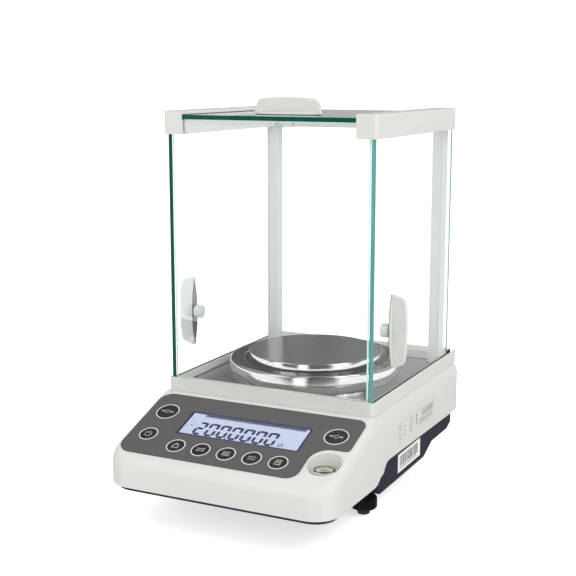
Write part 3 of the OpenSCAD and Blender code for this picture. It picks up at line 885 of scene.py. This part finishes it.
def facing_back(x, z):
    """Places a thing in the rear wall with its own z pointing out of the wall."""
    return Matrix.Translation(Vector((x, REAR_Y, z)) * MM) @ Matrix.Rotation(-math.pi / 2, 4, "X")


print("cutters ready")


# %% Cut the holes
def middle(node):
    """A part's middle across and in height."""
    low, high = corners(node)
    return (low[0] + high[0]) / 2, (low[2] + high[2]) / 2


INLET = middle("dc_inlet")
PORT = middle("serial_port")
PORT_HALF_W, PORT_HALF_H = 9, 5.2
INLET_R = 5.6
CELL_HOLE_R = 22
LCD_LEDGE = 3
KEY_LEDGE = 0.85
lcd_low, lcd_high = face_box("display_window")
LCD_W = lcd_high[0] - lcd_low[0]
LCD_S0, LCD_S1 = -lcd_high[1], -lcd_low[1]
holes = [disc(WELL_R + 1.0, WELL_FLOOR - 8, DECK_Z + 8, upright(*WELL)),
    disc(CELL_HOLE_R, DECK_Z - 8, DECK_Z + 8, upright(TURNED[0] / MM, TURNED[1] / MM)),
    slab((-LCD_W / 2 + LCD_LEDGE, -LCD_S1 + LCD_LEDGE, -8), (LCD_W / 2 - LCD_LEDGE, -LCD_S0 - LCD_LEDGE, 6),
        on_face()),
    disc(INLET_R, -8, 4, facing_back(*INLET)),
    slab((PORT[0] - PORT_HALF_W, REAR_Y - 8, PORT[1] - PORT_HALF_H),
        (PORT[0] + PORT_HALF_W, REAR_Y + 4, PORT[1] + PORT_HALF_H))]
holes += [disc(r - KEY_LEDGE, -7, 5, on_face(x, s)) for x, s, r in KEYS.values()]
piece("upper_housing_shell", cut(shell, holes), [FINISH["housing_white"]], "root",
    ("upper_housing",), sharp=28)
print("holes cut:", len(holes))

# %% [markdown]
# ## The well of the spirit level
# The level sits at the bottom of a round pocket. Its rim follows the slope, so each station round the
# pocket starts at the console's own height there and turns down over a small radius.
# %% Level well
WELL_STEPS = 96
WELL_RIM = [(1.0, 0.0), (0.6, 0.1), (0.25, 0.35), (0.0, 1.0)]
WELL_FOOT = [(WELL_R, 1.2), (WELL_R - 0.4, 0.3), (WELL_R - 1.2, 0.0), (9.0, 0.0), (9.0, -2.0)]
WELL_OUTER = 1.08


def level_well():
    """The pocket's wall: a rim that follows the slope, a rounded foot, and the wall's outer side."""
    rows = []
    for out_by, down in WELL_RIM:
        rows.append([(x, y, roof(y) - down) for x, y in circle_points(*WELL, WELL_R + out_by, WELL_STEPS)])
    for radius, up in WELL_FOOT:
        rows.append([(x, y, WELL_FLOOR + up) for x, y in circle_points(*WELL, radius, WELL_STEPS)])
    outer = [(WELL[0] + (x - WELL[0]) * WELL_OUTER, WELL[1] + (y - WELL[1]) * WELL_OUTER, z - 1.0)
        for x, y, z in rows[0]]
    rows += [[(x, y, WELL_FLOOR - 2) for x, y, z in outer], outer]
    points, faces = bridge(rows + [rows[0]], caps=False)
    return weld(mesh_of("level_well", points, faces))


piece("level_well_wall", level_well(), [FINISH["housing_white"]], "root", sharp=40)
print("level well", round(2 * WELL_R, 1), "mm wide")

# %% [markdown]
# ## Base, frame and tray
# These mouldings and extrusions already have the right shape, so each is copied from its part, its
# facets are joined into flat faces, and its edges get the small radius that a mould or a cutter leaves.
# %% Edge radii of the plain parts, in millimetres
ROUNDED = {"shield_base": 0.7, "rail_left": 0.8, "rail_right": 0.8, "rail_rear": 0.8, "bottom_housing": 0.8,
    "chamber_floor": 0.15, "post_left": 0.3, "post_right": 0.3, "key_rings": 0.08,
    "frame_screws": 0.1, "housing_screws": 0.15, "foot_inserts": 0.1, "cell_base": 0.6, "cell_magnet": 0.4,
    "cell_lever": 0.3, "cell_guides": 0.2, "pan_carrier": 0.3, "main_board": 0.15, "keypad_board": 0.15,
    "level_ring": 0.12, "display_module": 0.2, "serial_port": 0.25}
for node, radius in ROUNDED.items():
    soften(node, FINISH[SLOT[node]], radius)
print("softened:", len(ROUNDED))


# %% Parts used as they are
def as_it_is(node):
    """Gives a part of the engineering model its finish, without a new shape."""
    bpy.data.objects[node].data.materials[0] = FINISH[SLOT[node]]


as_it_is("control_overlay")
print("kept as it is: control_overlay")

# %% [markdown]
# ## Glass
# A pane is clear across its faces and green at its ground edges, because there you look through the
# whole width of the glass. The broad faces take the glass and every other face takes the edge finish.
# The edges differ because each sees another part of the room, and their tones are painted light and shade: a
# shaded dark green, a lit teal and a pale painted highlight.
# %% Panes: node, axis across the pane, edge finish
PANES = [("front_glass", 1, painted_highlight_edge), ("rear_glass", 1, painted_highlight_edge),
    ("left_door_glass", 0, shaded_green_edge), ("right_door_glass", 0, lit_teal_edge),
    ("top_door_glass", 2, shaded_green_edge)]
GROUND_EDGE = 0.25
for node, axis, edge_finish in PANES:
    soften(node, FINISH["pane_glass"], GROUND_EDGE, 1, "pane", edge_finish, axis)
print("panes:", len(PANES))

# %% [markdown]
# ## Door handles
# Each door is pushed by a thin fin on a lens-shaped foot. A dark pad sits between foot and glass, and a
# round nut holds the set from inside. One function draws the set for a pane and is used three times.
# %% Handle outlines
HANDLE_L = 57.0
HANDLE_H = 13.5
GLASS_T = 3.4
FIN_T = 3.5
FOOT_W = 9.6
PAD_W = 8.6
PAD_T = 0.3


def fin_outline():
    """The fin seen from the side: a straight foot, round shoulders and a slightly bowed back."""
    a, h, r = HANDLE_L / 2, HANDLE_H, 6
    bow = [(-i * a / 8, h - i * i / 64) for i in range(-4, 5)]
    right = arc((a - r - 1.5, h - r - 1), r, 8, 80, 10)
    left = arc((r + 1.5 - a, h - r - 1), r, 100, 172, 10)
    return [(-a, 1.0), (a, 1.0)] + right + bow + left


def lens_outline(width, length=HANDLE_L - 0.4):
    """Two shallow arcs that meet in points."""
    r = (length * length / 4 + width * width / 4) / width
    half = math.degrees(math.asin(length / 2 / r))
    lower = arc((0, r - width / 2), r, -90 - half, -90 + half, 24)
    upper = arc((0, width / 2 - r), r, 90 - half, 90 + half, 24)
    return lower[:-1] + upper[:-1]


print("handle", HANDLE_L, "x", HANDLE_H, "mm")


# %% One handle set
def handle_set(door, place):
    """Handle, nut and pad on a pane whose outer face is at z 0 of place."""
    upright_fin = place @ Matrix.Rotation(math.pi / 2, 4, "X")
    fin = plate("fin", fin_outline(), -FIN_T / 2, FIN_T / 2, 1.1, 4, upright_fin)
    foot = plate("foot", lens_outline(FOOT_W), PAD_T, 2.4, 0.7, 4, place)
    pin = disc(1.9, -GLASS_T - 2, 1.2, place, 32)
    nut_profile = [(0, -6), (4.5, -6), (5.05, -5.7), (5.25, -5.1), (5.25, -0.3), (5.0, 0), (2.0, 0),
        (2.0, -2.8), (0, -2.8)]
    nut = lathe("nut", [(radius, z - GLASS_T) for radius, z in nut_profile], place, 64)
    pad = plate("pad", lens_outline(PAD_W), 0.0, PAD_T, 0.1, 2, place)
    parts = {"handle": (joined([fin, foot, pin]), "housing_white"), "nut": (nut, "housing_white"),
        "pad": (pad, "foot_rubber")}
    for part, (mesh, finish) in parts.items():
        node = f"{door}_door_{part}"
        piece(node + "_piece", mesh, [FINISH[finish]], door + "_door", (node,), sharp=40)


# %% Three handle sets
for door, turn_y, axis, side in (("left", -90, 0, -1), ("right", 90, 0, 1), ("top", 0, 2, 1)):
    low, high = corners(door + "_door_nut")
    spot = [(low[i] + high[i]) / 2 for i in range(3)]
    glass_low, glass_high = corners(door + "_door_glass")
    spot[axis] = glass_high[axis] if side > 0 else glass_low[axis]
    handle_set(door, upright(*spot) @ Matrix.Rotation(math.radians(turn_y), 4, "Y"))
print("handle sets: 3, the top one at", [round(value, 1) for value in spot])

# %% [markdown]
# ## Pan and draught ring
# Both are pressed from stainless sheet: turned flat tops with a fine round grain, and polished sides that
# mirror the room. The tops are given a darker steel colour than the sides, a painted dark reflection, far
# darker on the ring. A lathe profile gives the shape, and each face takes its finish from the way it faces.
# %% Turned steel
def two_finish(mesh, limit):
    """The second finish for every face whose normal's z is limit or less."""
    for face in mesh.polygons:
        face.material_index = 0 if face.normal.z > limit else 1
    return mesh


pan_low, pan_high = corners("weighing_pan")
PAN_R = (pan_high[0] - pan_low[0]) / 2
PAN_AT = upright(TURNED[0] / MM, TURNED[1] / MM, pan_high[2])
pan_edge = arc((PAN_R - 1.5, -0.8), 0.8, 75, 9, 4)
pan_skirt = [(PAN_R - 0.05, -4.8), (PAN_R - 0.2, -5.5), (PAN_R - 0.9, -5.9), (PAN_R - 1.7, -5.6),
    (PAN_R - 1.4, -4.2), (PAN_R - 2.0, -1.2)]
pan_boss = [(8, -1.2), (8, -15), (5.08, -15), (5.08, -3.4), (0, -3.4)]
pan_profile = [(0, 0), (PAN_R - 1.7, 0)] + pan_edge + pan_skirt + pan_boss
pan = two_finish(lathe("pan", pan_profile, PAN_AT, 192), 0.98)
piece("weighing_pan_turned", pan, [FINISH["pan_steel"], polished_steel], "pan",
    ("weighing_pan",))
print("pan radius", round(PAN_R, 2))

# %% Draught ring
ring_low, ring_high = corners("draught_ring")
RING_R = (ring_high[0] - ring_low[0]) / 2
RING_AT = upright(TURNED[0] / MM, TURNED[1] / MM, ring_low[2])
ring_side = [(RING_R - 1, 0), (RING_R - 1.9, 6.0), (RING_R - 1.6, 6.6), (RING_R - 0.3, 6.8), (RING_R, 7.2)]
ring_shoulder = arc((RING_R - 2.7, 12.5), 2.0, 9, 84, 7)
ring_top = [(RING_R - 11.9, 14.3), (RING_R - 12.7, 13.9), (RING_R - 13, 9.5), (RING_R - 11.8, 9.5),
    (RING_R - 11.8, 13.0)]
ring_inside = arc((RING_R - 3.0, 12.1), 1.2, 80, 9, 4) + [(RING_R - 1.4, 8.0), (RING_R - 3.0, 7.4),
    (RING_R - 2.2, 0)]
ring = two_finish(lathe("ring", ring_side + ring_shoulder + ring_top + ring_inside, RING_AT, 192), 0.93)
piece("draught_ring_turned", ring, [FINISH["ring_steel"], polished_steel], "ring",
    ("draught_ring",))
print("ring radius", round(RING_R, 2))

# %% [markdown]
# ## Seal round the chamber floor
# A thin black seal runs round the metal floor and stops powder from falling under it. It is one strip bent
# round the plate's edge, stepping in at the rear corners where the posts stand.
# %% Floor seal
SEAL_H = 0.5
SEAL_W = 0.8
POST_CLEARANCE = 0.6
floor_low, floor_high = corners("chamber_floor")
post_low = corners("post_right")[0]
edge_x, step_x, step_y = floor_high[0], post_low[0] - POST_CLEARANCE, post_low[1] - POST_CLEARANCE


def seal_line(d):
    """The plate's edge moved in by d, with a step at each rear corner."""
    half = [(edge_x - d, floor_low[1] + d), (edge_x - d, step_y - d), (step_x - d, step_y - d),
        (step_x - d, floor_high[1] - d)]
    return half + [(-x, y) for x, y in reversed(half)]


seal_section = [(0, 0), (0, SEAL_H), (SEAL_W, SEAL_H), (SEAL_W, 0)]
seal_rows = [[(x, y, floor_high[2] + h) for x, y in seal_line(d)] for d, h in seal_section]
seal = mesh_of("floor_seal", *bridge(seal_rows + [seal_rows[0]], caps=False))
piece("chamber_floor_seal", seal, [FINISH["black_plastic"]], "root", sharp=30)
print("seal", SEAL_W, "x", SEAL_H, "mm")

# %% [markdown]
# ## Painted groove shadow
# Each side door stands in its groove, and a black channel let into the groove is painted shade: it stands
# for the groove's shadow as a thin dark line on either side of the glass. One section is drawn and run along
# the groove.
# %% Painted groove shadow
SHADE_STRIP_WALL = 0.25
SHADE_STRIP_ROOM = 0.48
SHADE_STRIP_FLOOR_Z = BASE_HIGH[2] - 4.48
SHADE_STRIP_TOP_Z = BASE_HIGH[2] - 0.15


# A black channel section run along a door groove: painted shade for the groove's shadow.
def groove_shade_strip(side):
    low, high = corners(side + "_door_glass")
    left, right = low[0] - SHADE_STRIP_ROOM, high[0] + SHADE_STRIP_ROOM
    inner_z = SHADE_STRIP_FLOOR_Z + SHADE_STRIP_WALL
    section = [(left, SHADE_STRIP_FLOOR_Z), (right, SHADE_STRIP_FLOOR_Z), (right, SHADE_STRIP_TOP_Z),
        (right - SHADE_STRIP_WALL, SHADE_STRIP_TOP_Z), (right - SHADE_STRIP_WALL, inner_z), (left + SHADE_STRIP_WALL, inner_z),
        (left + SHADE_STRIP_WALL, SHADE_STRIP_TOP_Z), (left, SHADE_STRIP_TOP_Z)]
    rows = [[(x, y, z) for x, z in section] for y in (low[1] - 0.4, BASE_HIGH[1] - 0.3)]
    mesh = mesh_of("groove_shade_strip", *bridge(rows))
    # Black strip in the groove: painted shade, not a real part.
    piece("door_track_" + side, mesh, [FINISH["black_plastic"]], "root", sharp=30)


groove_shade_strip("left")
groove_shade_strip("right")
print("track floor at", round(SHADE_STRIP_FLOOR_Z, 2))

# %% [markdown]
# ## Console: flat shapes
# Printed marks, display segments and label rules are all flat shapes a few hundredths of a millimetre
# thick. Strokes are drawn as short overlapping bars, so one helper serves every mark on the instrument.
# %% Flat shapes
def shapes(name, outlines, low, high, place=None):
    """Thin plates from z low to z high, all in one mesh."""
    result = joined([prism("shape", outline, low, high, place) for outline in outlines])
    result.name = name
    return result


def stroke(path, width):
    """Short bars along a path of points, a little longer than each step so they join up."""
    bars = []
    for first, second in zip(path, path[1:]):
        a, b = Vector(first), Vector(second)
        along = (b - a).normalized() * (width / 2)
        across = Vector((-along.y, along.x))
        a, b = a - along * 0.5, b + along * 0.5
        bars.append([tuple(a - across), tuple(b - across), tuple(b + across), tuple(a + across)])
    return bars


def bar(x, y, width, tall):
    return [(x, y), (x + width, y), (x + width, y + tall), (x, y + tall)]


print("a stroke has", len(stroke([(0, 0), (1, 0), (1, 1)], 0.5)), "bars for three points")


# %% [markdown]
# ## Keys
# A key is a shallow cap with a soft edge, dished a little for the finger. It carries a small symbol in
# white instead of a word, and both move together when it is pressed.
# %% Key symbols
def circle(x, y, r, steps=24):
    return arc((x, y), r, 0, 360, steps)


SYMBOL_STROKE = 0.6
TARE_SCALE = 1.2
SYMBOL_SCALE = 1.3
SYMBOLS = {
    "tare": [circle(0, 0, 1.5), [(-4.6, 0), (-2.4, 0)], [(-3.3, 0.8), (-2.4, 0), (-3.3, -0.8)],
        [(4.6, 0), (2.4, 0)], [(3.3, 0.8), (2.4, 0), (3.3, -0.8)]],
    "power": [arc((0, -0.2), 2.0, 125, 415, 24), [(0, 2.3), (0, 0.3)]],
    "calibrate": [[(-2.0, -1.9), (2.0, -1.9), (1.4, 0.9), (-1.4, 0.9), (-2.0, -1.9)],
        circle(0, 1.6, 0.6, 12)],
    "convert": [[(-2.4, 0.8), (2.4, 0.8), (1.4, 1.7)], [(2.4, -0.8), (-2.4, -0.8), (-1.4, -1.7)]],
    "menu": [[(-2.2, y), (2.2, y)] for y in (-1.4, 0, 1.4)],
    "count": [circle(x, y, 0.35, 10) for x in (-1.6, 0, 1.6) for y in (-0.9, 0.9)],
    "print": [[(-1.5, -2.0), (1.5, -2.0), (1.5, 2.0), (-1.5, 2.0), (-1.5, -2.0)], [(-0.7, 0.8), (0.7, 0.8)],
        [(-0.7, -0.3), (0.7, -0.3)]],
}
print("symbols:", list(SYMBOLS))


# %% Caps
FLANGE = 1.2
CAP_TOP = 1.0


def key(node, x, s, r):
    """A cap with its flange under the console film, and its symbol."""
    cap_r = r - FLANGE
    profile = [(0, CAP_TOP - 0.12), (cap_r * 0.55, CAP_TOP - 0.09), (cap_r - 0.7, CAP_TOP),
        (cap_r - 0.3, CAP_TOP - 0.06), (cap_r, CAP_TOP - 0.4), (cap_r, -3.3), (r, -3.3), (r, -4.2),
        (0, -4.2)]
    cap = lathe(node, profile, on_face(x, s), 72)
    piece(node + "_cap", cap, [FINISH["key_black"]], node, (node,), sharp=50)
    kind = node.split("_")[1]
    grow = TARE_SCALE if kind == "tare" else SYMBOL_SCALE
    paths = [[(grow * x, grow * y) for x, y in path] for path in SYMBOLS[kind]]
    lines = [bars for path in paths for bars in stroke(path, SYMBOL_STROKE)]
    mark = shapes(node + "_mark", lines, CAP_TOP - 0.14, CAP_TOP + 0.03, on_face(x, s))
    piece(node + "_symbol", mark, [printed_white], node, sharp=30)


for node, (x, s, r) in KEYS.items():
    key(node, x, s, r)
print("keys made:", len(KEYS))

# %% [markdown]
# ## Display
# The display is a lavender backlight with navy segments. It reads a plain round figure, with a bar scale
# along the top that shows how much of the range is used. Segments are bevelled bars that lean a little.
# %% Digits
SEGMENTS = {"0": "abcdef", "2": "abged"}
DIGIT_W, DIGIT_H, DIGIT_STROKE, DIGIT_LEAN = 8.5, 15.8, 2.3, 0.03
SEGMENT_GAP = 0.15


def digit(character, x, y):
    """Outlines of a seven-segment figure whose lower left corner is at (x, y)."""
    half, t, g = DIGIT_H / 2, DIGIT_STROKE / 2, SEGMENT_GAP
    across = {"a": DIGIT_H - t, "g": half, "d": t}
    upright_at = {"f": (t, half), "b": (DIGIT_W - t, half), "e": (t, 0), "c": (DIGIT_W - t, 0)}
    found = []
    for name in SEGMENTS[character]:
        if name in across:
            cy = across[name]
            left, right = t + g, DIGIT_W - t - g
            found.append([(left, cy), (left + t, cy - t), (right - t, cy - t), (right, cy),
                (right - t, cy + t), (left + t, cy + t)])
        else:
            cx, base = upright_at[name]
            low, high = base + t + g, base + half - g
            found.append([(cx, low), (cx + t, low + t), (cx + t, high - t), (cx, high), (cx - t, high - t),
                (cx - t, low + t)])
    return [[(x + px + DIGIT_LEAN * py, y + py) for px, py in outline] for outline in found]


print("bars in a nought:", len(digit("0", 0, 0)))

# %% Backlight and border
LCD_H = LCD_S1 - LCD_S0
BORDER = 1.6
LCD = on_face(-LCD_W / 2, LCD_S1)


def framed(x, y, wide, tall, thick):
    """Four bars round a rectangle, inside it."""
    return [bar(x, y, wide, thick), bar(x, y + tall - thick, wide, thick), bar(x, y, thick, tall),
        bar(x + wide - thick, y, thick, tall)]


glow = shapes("glow", [bar(0.2, 0.2, LCD_W - 0.4, LCD_H - 0.4)], 0.01, 0.08, LCD)
piece("display_glow", glow, [FINISH["display_panel"]], "root")
border = shapes("border", framed(0.1, 0.1, LCD_W - 0.2, LCD_H - 0.2, BORDER), 0.07, 0.11, LCD)
piece("display_border", border, [segment_navy], "root")
print("display", round(LCD_W, 1), "x", round(LCD_H, 1))

# %% Figures and scale
SHOWN = "2000000"
FIRST_DIGIT_X, DIGIT_PITCH, DIGIT_Y = 11.6, 10.1, 2.0
SCALE_X, SCALE_PITCH, SCALE_TICKS = 13.0, 1.3, 66
figures = []
for i, character in enumerate(SHOWN):
    figures += digit(character, FIRST_DIGIT_X + DIGIT_PITCH * i, DIGIT_Y)
figures.append(bar(FIRST_DIGIT_X + DIGIT_PITCH * 3 - 1.3, DIGIT_Y, 1.3, 1.3))
figures += stroke(circle(7.0, 12.4, 0.4, 10), 0.6)
figures += framed(84.5, 3.2, 3.6, 3.4, 0.6)
figures_mesh = shapes("figures", figures, 0.075, 0.105, LCD)
piece("display_figures", figures_mesh, [segment_navy], "root")
scale = [bar(SCALE_X, LCD_H - 3.3, LCD_W - 17.5, 1.4)]
scale += [bar(SCALE_X + SCALE_PITCH * i, LCD_H - 4.7, 0.8, 1.6) for i in range(SCALE_TICKS)]
scale += [bar(SCALE_X + 10 * SCALE_PITCH * i, LCD_H - 5.2, 0.8, 2.2) for i in range(7)]
scale_mesh = shapes("scale", scale, 0.075, 0.105, LCD)
piece("display_scale", scale_mesh, [segment_navy], "root")
window = plate("window", bar(0.05, 0.05, LCD_W - 0.1, LCD_H - 0.1), 0.2, 0.58, 0.1, 2, LCD)
piece("display_cover", window, [FINISH["display_clear"]], "root", ("display_window",))
print("figures on the display:", SHOWN)

# %% [markdown]
# ## Spirit level
# A bull's-eye level: a clear vial over pale spirit, a printed ring, and the bubble inside the ring when
# the balance stands level.
# %% Level
vial_low, vial_high = corners("level_vial")
LEVEL = upright(WELL[0], WELL[1], vial_low[2])
VIAL_H = vial_high[2] - vial_low[2]
SPIRIT_TOP = 3.9
spirit_profile = [(0, 0.15), (6.2, 0.15), (6.3, 0.3), (6.3, SPIRIT_TOP - 0.1), (6.2, SPIRIT_TOP),
    (0, SPIRIT_TOP)]
spirit = lathe("spirit", spirit_profile, LEVEL, 72)
piece("level_spirit", spirit, [level_fluid], "root")
mark = lathe("level_mark", [(2.7, 3.88), (3.1, 3.88), (3.1, 3.95), (2.7, 3.95)], LEVEL, 72)
piece("level_target", mark, [printed_black], "root")
vial = lathe("vial", [(0, VIAL_H), (7.0, VIAL_H), (7.6, VIAL_H - 0.25), (7.8, VIAL_H - 0.8), (7.8, 0.0),
    (6.5, 0.0), (6.5, VIAL_H - 1.2), (0, VIAL_H - 0.9)], LEVEL, 72)
piece("level_vial_clear", vial, [FINISH["level_acrylic"]], "root", ("level_vial",))
dome = [(2.2 * math.cos(math.radians(a)), SPIRIT_TOP + 0.8 * math.sin(math.radians(a)))
    for a in (70, 50, 30, 12, 0)]
bubble = lathe("bubble", [(0, SPIRIT_TOP + 0.8)] + dome + [(0, SPIRIT_TOP)], LEVEL, 48)
# The bubble glows though it is no lamp: painted light.
piece("level_bubble_dome", bubble, [FINISH["level_air"]], "root", ("level_bubble",))
print("level vial", round(VIAL_H, 1), "mm tall")

# %% [markdown]
# ## Feet
# The balance is levelled by two knurled wheels on threaded studs, each standing on a rubber pad, and
# rests on two fixed feet behind. The wheel is a turned profile whose rim is fluted for the fingers.
# %% Levelling feet
FLUTES, FLUTE_DEPTH = 24, 1.0
STUD_FROM = 10.2
wheel_profile = [(1.55, 0), (8.6, 0), (9.9, 0.7, 1), (10.4, 1.6, 1), (10.4, 8.4, 1), (9.9, 9.3, 1),
    (8.6, 10), (3.4, 10), (3.0, 10.4), (3.0, 25.4), (2.4, 26), (0, 26), (0, 3), (1.55, 3)]
pad_profile = [(0, 0), (4.0, 0), (4.6, 0.3), (4.8, 0.9), (4.8, 3.5), (4.3, 4.2), (1.5, 4.2), (1.5, 7),
    (0, 7)]
for side in ("left", "right"):
    node = "foot_wheel_" + side
    low, high = corners(node)
    centre = ((low[0] + high[0]) / 2, (low[1] + high[1]) / 2)
    wheel = lathe("wheel", wheel_profile, upright(*centre, low[2]), 192, FLUTES, FLUTE_DEPTH)
    for face in wheel.polygons:
        face.material_index = 1 if face.center.z > (low[2] + STUD_FROM) * MM else 0
    finishes = [FINISH["black_plastic"], FINISH["zinc_screw"]]
    piece(node + "_fluted", wheel, finishes, node, (node,))
    node = "foot_pad_" + side
    pad = lathe("pad", pad_profile, upright(*centre), 64)
    piece(node + "_moulded", pad, [FINISH["foot_rubber"]], node, (node,))
print("levelling feet at x", round(centre[0], 1), "y", round(centre[1], 1))

# %% Rear feet
REAR_FOOT_R = 8
low, high = corners("rear_feet")
foot_profile = [(0, 0), (6.2, 0), (6.8, 0.3), (7.1, 0.9), (REAR_FOOT_R, 5), (REAR_FOOT_R, high[2]),
    (0, high[2])]
rear_y = (low[1] + high[1]) / 2
rear_x = (low[0] + REAR_FOOT_R, high[0] - REAR_FOOT_R)
rear = [lathe("rear_foot", foot_profile, upright(x, rear_y), 64) for x in rear_x]
piece("rear_feet_moulded", joined(rear), [FINISH["foot_rubber"]], "root", ("rear_feet",))
print("rear feet:", len(rear))

# %% [markdown]
# ## Labels
# The label film on the side and the paper sticker on the tray are ruled areas with plain bars and dashes
# in place of print. They sit a few hundredths of a millimetre proud of their films.
# %% Drawing on the side
PRINT_T = 0.03


def on_right_side(x, y, z):
    """Places a flat drawing on the right-hand side: its x runs back, its y up, its z outwards."""
    turned = Matrix(((0, 0, 1, 0), (1, 0, 0, 0), (0, 1, 0, 0), (0, 0, 0, 1)))
    return upright(x, y, z) @ turned


def dashes(x, y, total, tall, pattern, gap=0.9):
    """A row of dashes whose lengths follow the pattern, up to a total length."""
    row, at, i = [], x, 0
    while at + pattern[i % len(pattern)] < x + total:
        row.append(bar(at, y, pattern[i % len(pattern)], tall))
        at += pattern[i % len(pattern)] + gap
        i += 1
    return row


def printed(name, node, outlines, finish):
    """A drawing on a label, measured from the label's lower front corner."""
    low, high = corners(node)
    mesh = shapes(name, outlines, 0, PRINT_T, on_right_side(high[0] - 0.01, low[1], low[2]))
    return piece(name, mesh, [finish], "root")


def label_size(node):
    low, high = corners(node)
    return high[1] - low[1], high[2] - low[2]


soften("rating_label", FINISH["label_film"], 0.05, suffix="film")
soften("stock_label", FINISH["label_paper"], 0.05, suffix="paper")
print("labels:", [tuple(round(v, 1) for v in label_size(node)) for node in ("rating_label", "stock_label")])

# %% Rules on the rating label
wide, tall = label_size("rating_label")
RULE = 0.12
drawn = [bar(1, tall - 1.2, wide - 2, RULE), bar(wide - 1.2, 1, RULE, tall - 2),
    bar(wide * 0.46, 1, wide * 0.53, RULE)]
for i in range(6):
    drawn += dashes(2.5, 2.2 + 2.0 * i, 7, 0.6, (1.2, 0.7, 1.6))
    drawn += dashes(wide * 0.30, 2.2 + 2.0 * i, 9, 0.6, (1.0, 1.9, 0.8))
for i in range(3):
    drawn.append(bar(14, 3.0 + 3.6 * i, 1.5, 1.5))
    drawn.append(bar(wide * 0.47, 4.2 + 3.4 * i, 2.2, 1.9))
    drawn += dashes(wide * 0.55, 3.2 + 1.5 * i, wide * 0.36, 0.5, (2.2, 1.2, 3.5))
    drawn += dashes(wide * 0.62, 8.6 + 1.9 * i, wide * 0.32, 0.9, (1.4, 2.6, 1.9))
printed("rating_label_rules", "rating_label", drawn, printed_grey)
print("rules and dashes:", len(drawn))

# %% Bars on the stock label
BAR_COUNT, BAR_Y, BAR_H = 19, 4.2, 8.6
THICKS = (0.8, 1.5, 0.7, 1.9, 1.0, 1.6, 0.7)
GAPS = (1.0, 0.7, 1.5, 0.8, 1.1)
drawn, at = [], 4.0
for i in range(BAR_COUNT):
    thick = THICKS[i % len(THICKS)]
    drawn.append(bar(at, BAR_Y, thick, BAR_H))
    at += thick + GAPS[i % len(GAPS)]
drawn += dashes(4, 2.3, at - 6, 0.9, (2.6, 2.0, 1.6))
printed("stock_label_bars", "stock_label", drawn, printed_black)
print("bars:", BAR_COUNT)

# %% [markdown]
# ## Sockets at the back
# The power inlet is a barrel socket with a centre pin, and the data port has nine pins in a black block.
# %% Power inlet
barrel_profile = [(2.8, -0.4), (3.1, -0.6), (5.2, -0.6), (5.5, -0.9), (5.5, -2.5), (7.5, -2.5), (7.5, -4.5),
    (5.5, -4.5), (5.5, -14.5), (0, -14.5), (0, -10.5), (2.8, -10.5)]
barrel = lathe("barrel", barrel_profile, facing_back(*INLET), 64)
piece("dc_inlet_barrel", barrel, [FINISH["black_plastic"]], "root", ("dc_inlet",))
pin_profile = [(0, -1.2), (0.6, -1.3), (1.0, -1.9), (1.0, -10.6), (0, -10.6)]
pin = lathe("inlet_pin", pin_profile, facing_back(*INLET), 32)
piece("dc_inlet_pin", pin, [FINISH["brass"]], "root")
print("inlet at", tuple(round(value, 1) for value in INLET))

# %% Data port
BLOCK_HALF_W, BLOCK_HALF_H = 7.6, 3.8
PIN_PITCH = 2.77
PIN_ROWS = ((1.42, 5), (-1.42, 4))
block = slab((PORT[0] - BLOCK_HALF_W, REAR_Y - 5.2, PORT[1] - BLOCK_HALF_H),
    (PORT[0] + BLOCK_HALF_W, REAR_Y - 4.2, PORT[1] + BLOCK_HALF_H))
piece("serial_port_block", block, [FINISH["black_plastic"]], "root")
pin_profile = [(0, -1.4), (0.3, -1.5), (0.5, -1.9), (0.5, -4.5), (0, -4.5)]
pins = []
for row, count in PIN_ROWS:
    for i in range(count):
        x = PORT[0] + PIN_PITCH * (i - (count - 1) / 2)
        pins.append(lathe("pin", pin_profile, facing_back(x, PORT[1] + row), 16))
piece("serial_port_pins", joined(pins), [FINISH["brass"]], "root")
print("pins:", len(pins))

# %% [markdown]
# ## Floor
# The instrument stands on a plain white floor that runs well past the edges of the view. Where it is looked
# at, it glows a little, so that it meets the white backdrop without a line and keeps only a soft shadow.
# %% Floor
REACH = 6.0
FLOOR_GLOW = 0.62
floor_mesh = bpy.data.meshes.new("studio_floor")
floor_corners = [(-REACH, -REACH, 0), (REACH, -REACH, 0), (REACH, REACH, 0), (-REACH, REACH, 0)]
floor_mesh.from_pydata(floor_corners, [], [(0, 1, 2, 3)])
floor_finish = plastic("white_sweep", (0.93, 0.93, 0.93), 0.6, grain=300.0, drift=0.0, depth=0.0)
sweep = floor_finish.node_tree
sweep_shader = sweep.nodes["Principled BSDF"]
path = add_node(sweep, "ShaderNodeLightPath").outputs
viewed = math_node(sweep, "MAXIMUM", path["Is Camera Ray"], path["Is Transmission Ray"])
wire(sweep, math_node(sweep, "MULTIPLY", viewed, FLOOR_GLOW), sweep_shader.inputs["Emission Strength"])
sweep_shader.inputs["Emission Color"].default_value = (1, 1, 1, 1)
floor_mesh.materials.append(floor_finish)
floor = bpy.data.objects.new("studio_floor", floor_mesh)
bpy.context.scene.collection.objects.link(floor)
floor.visible_glossy = False
print("floor", 2 * REACH, "m across")
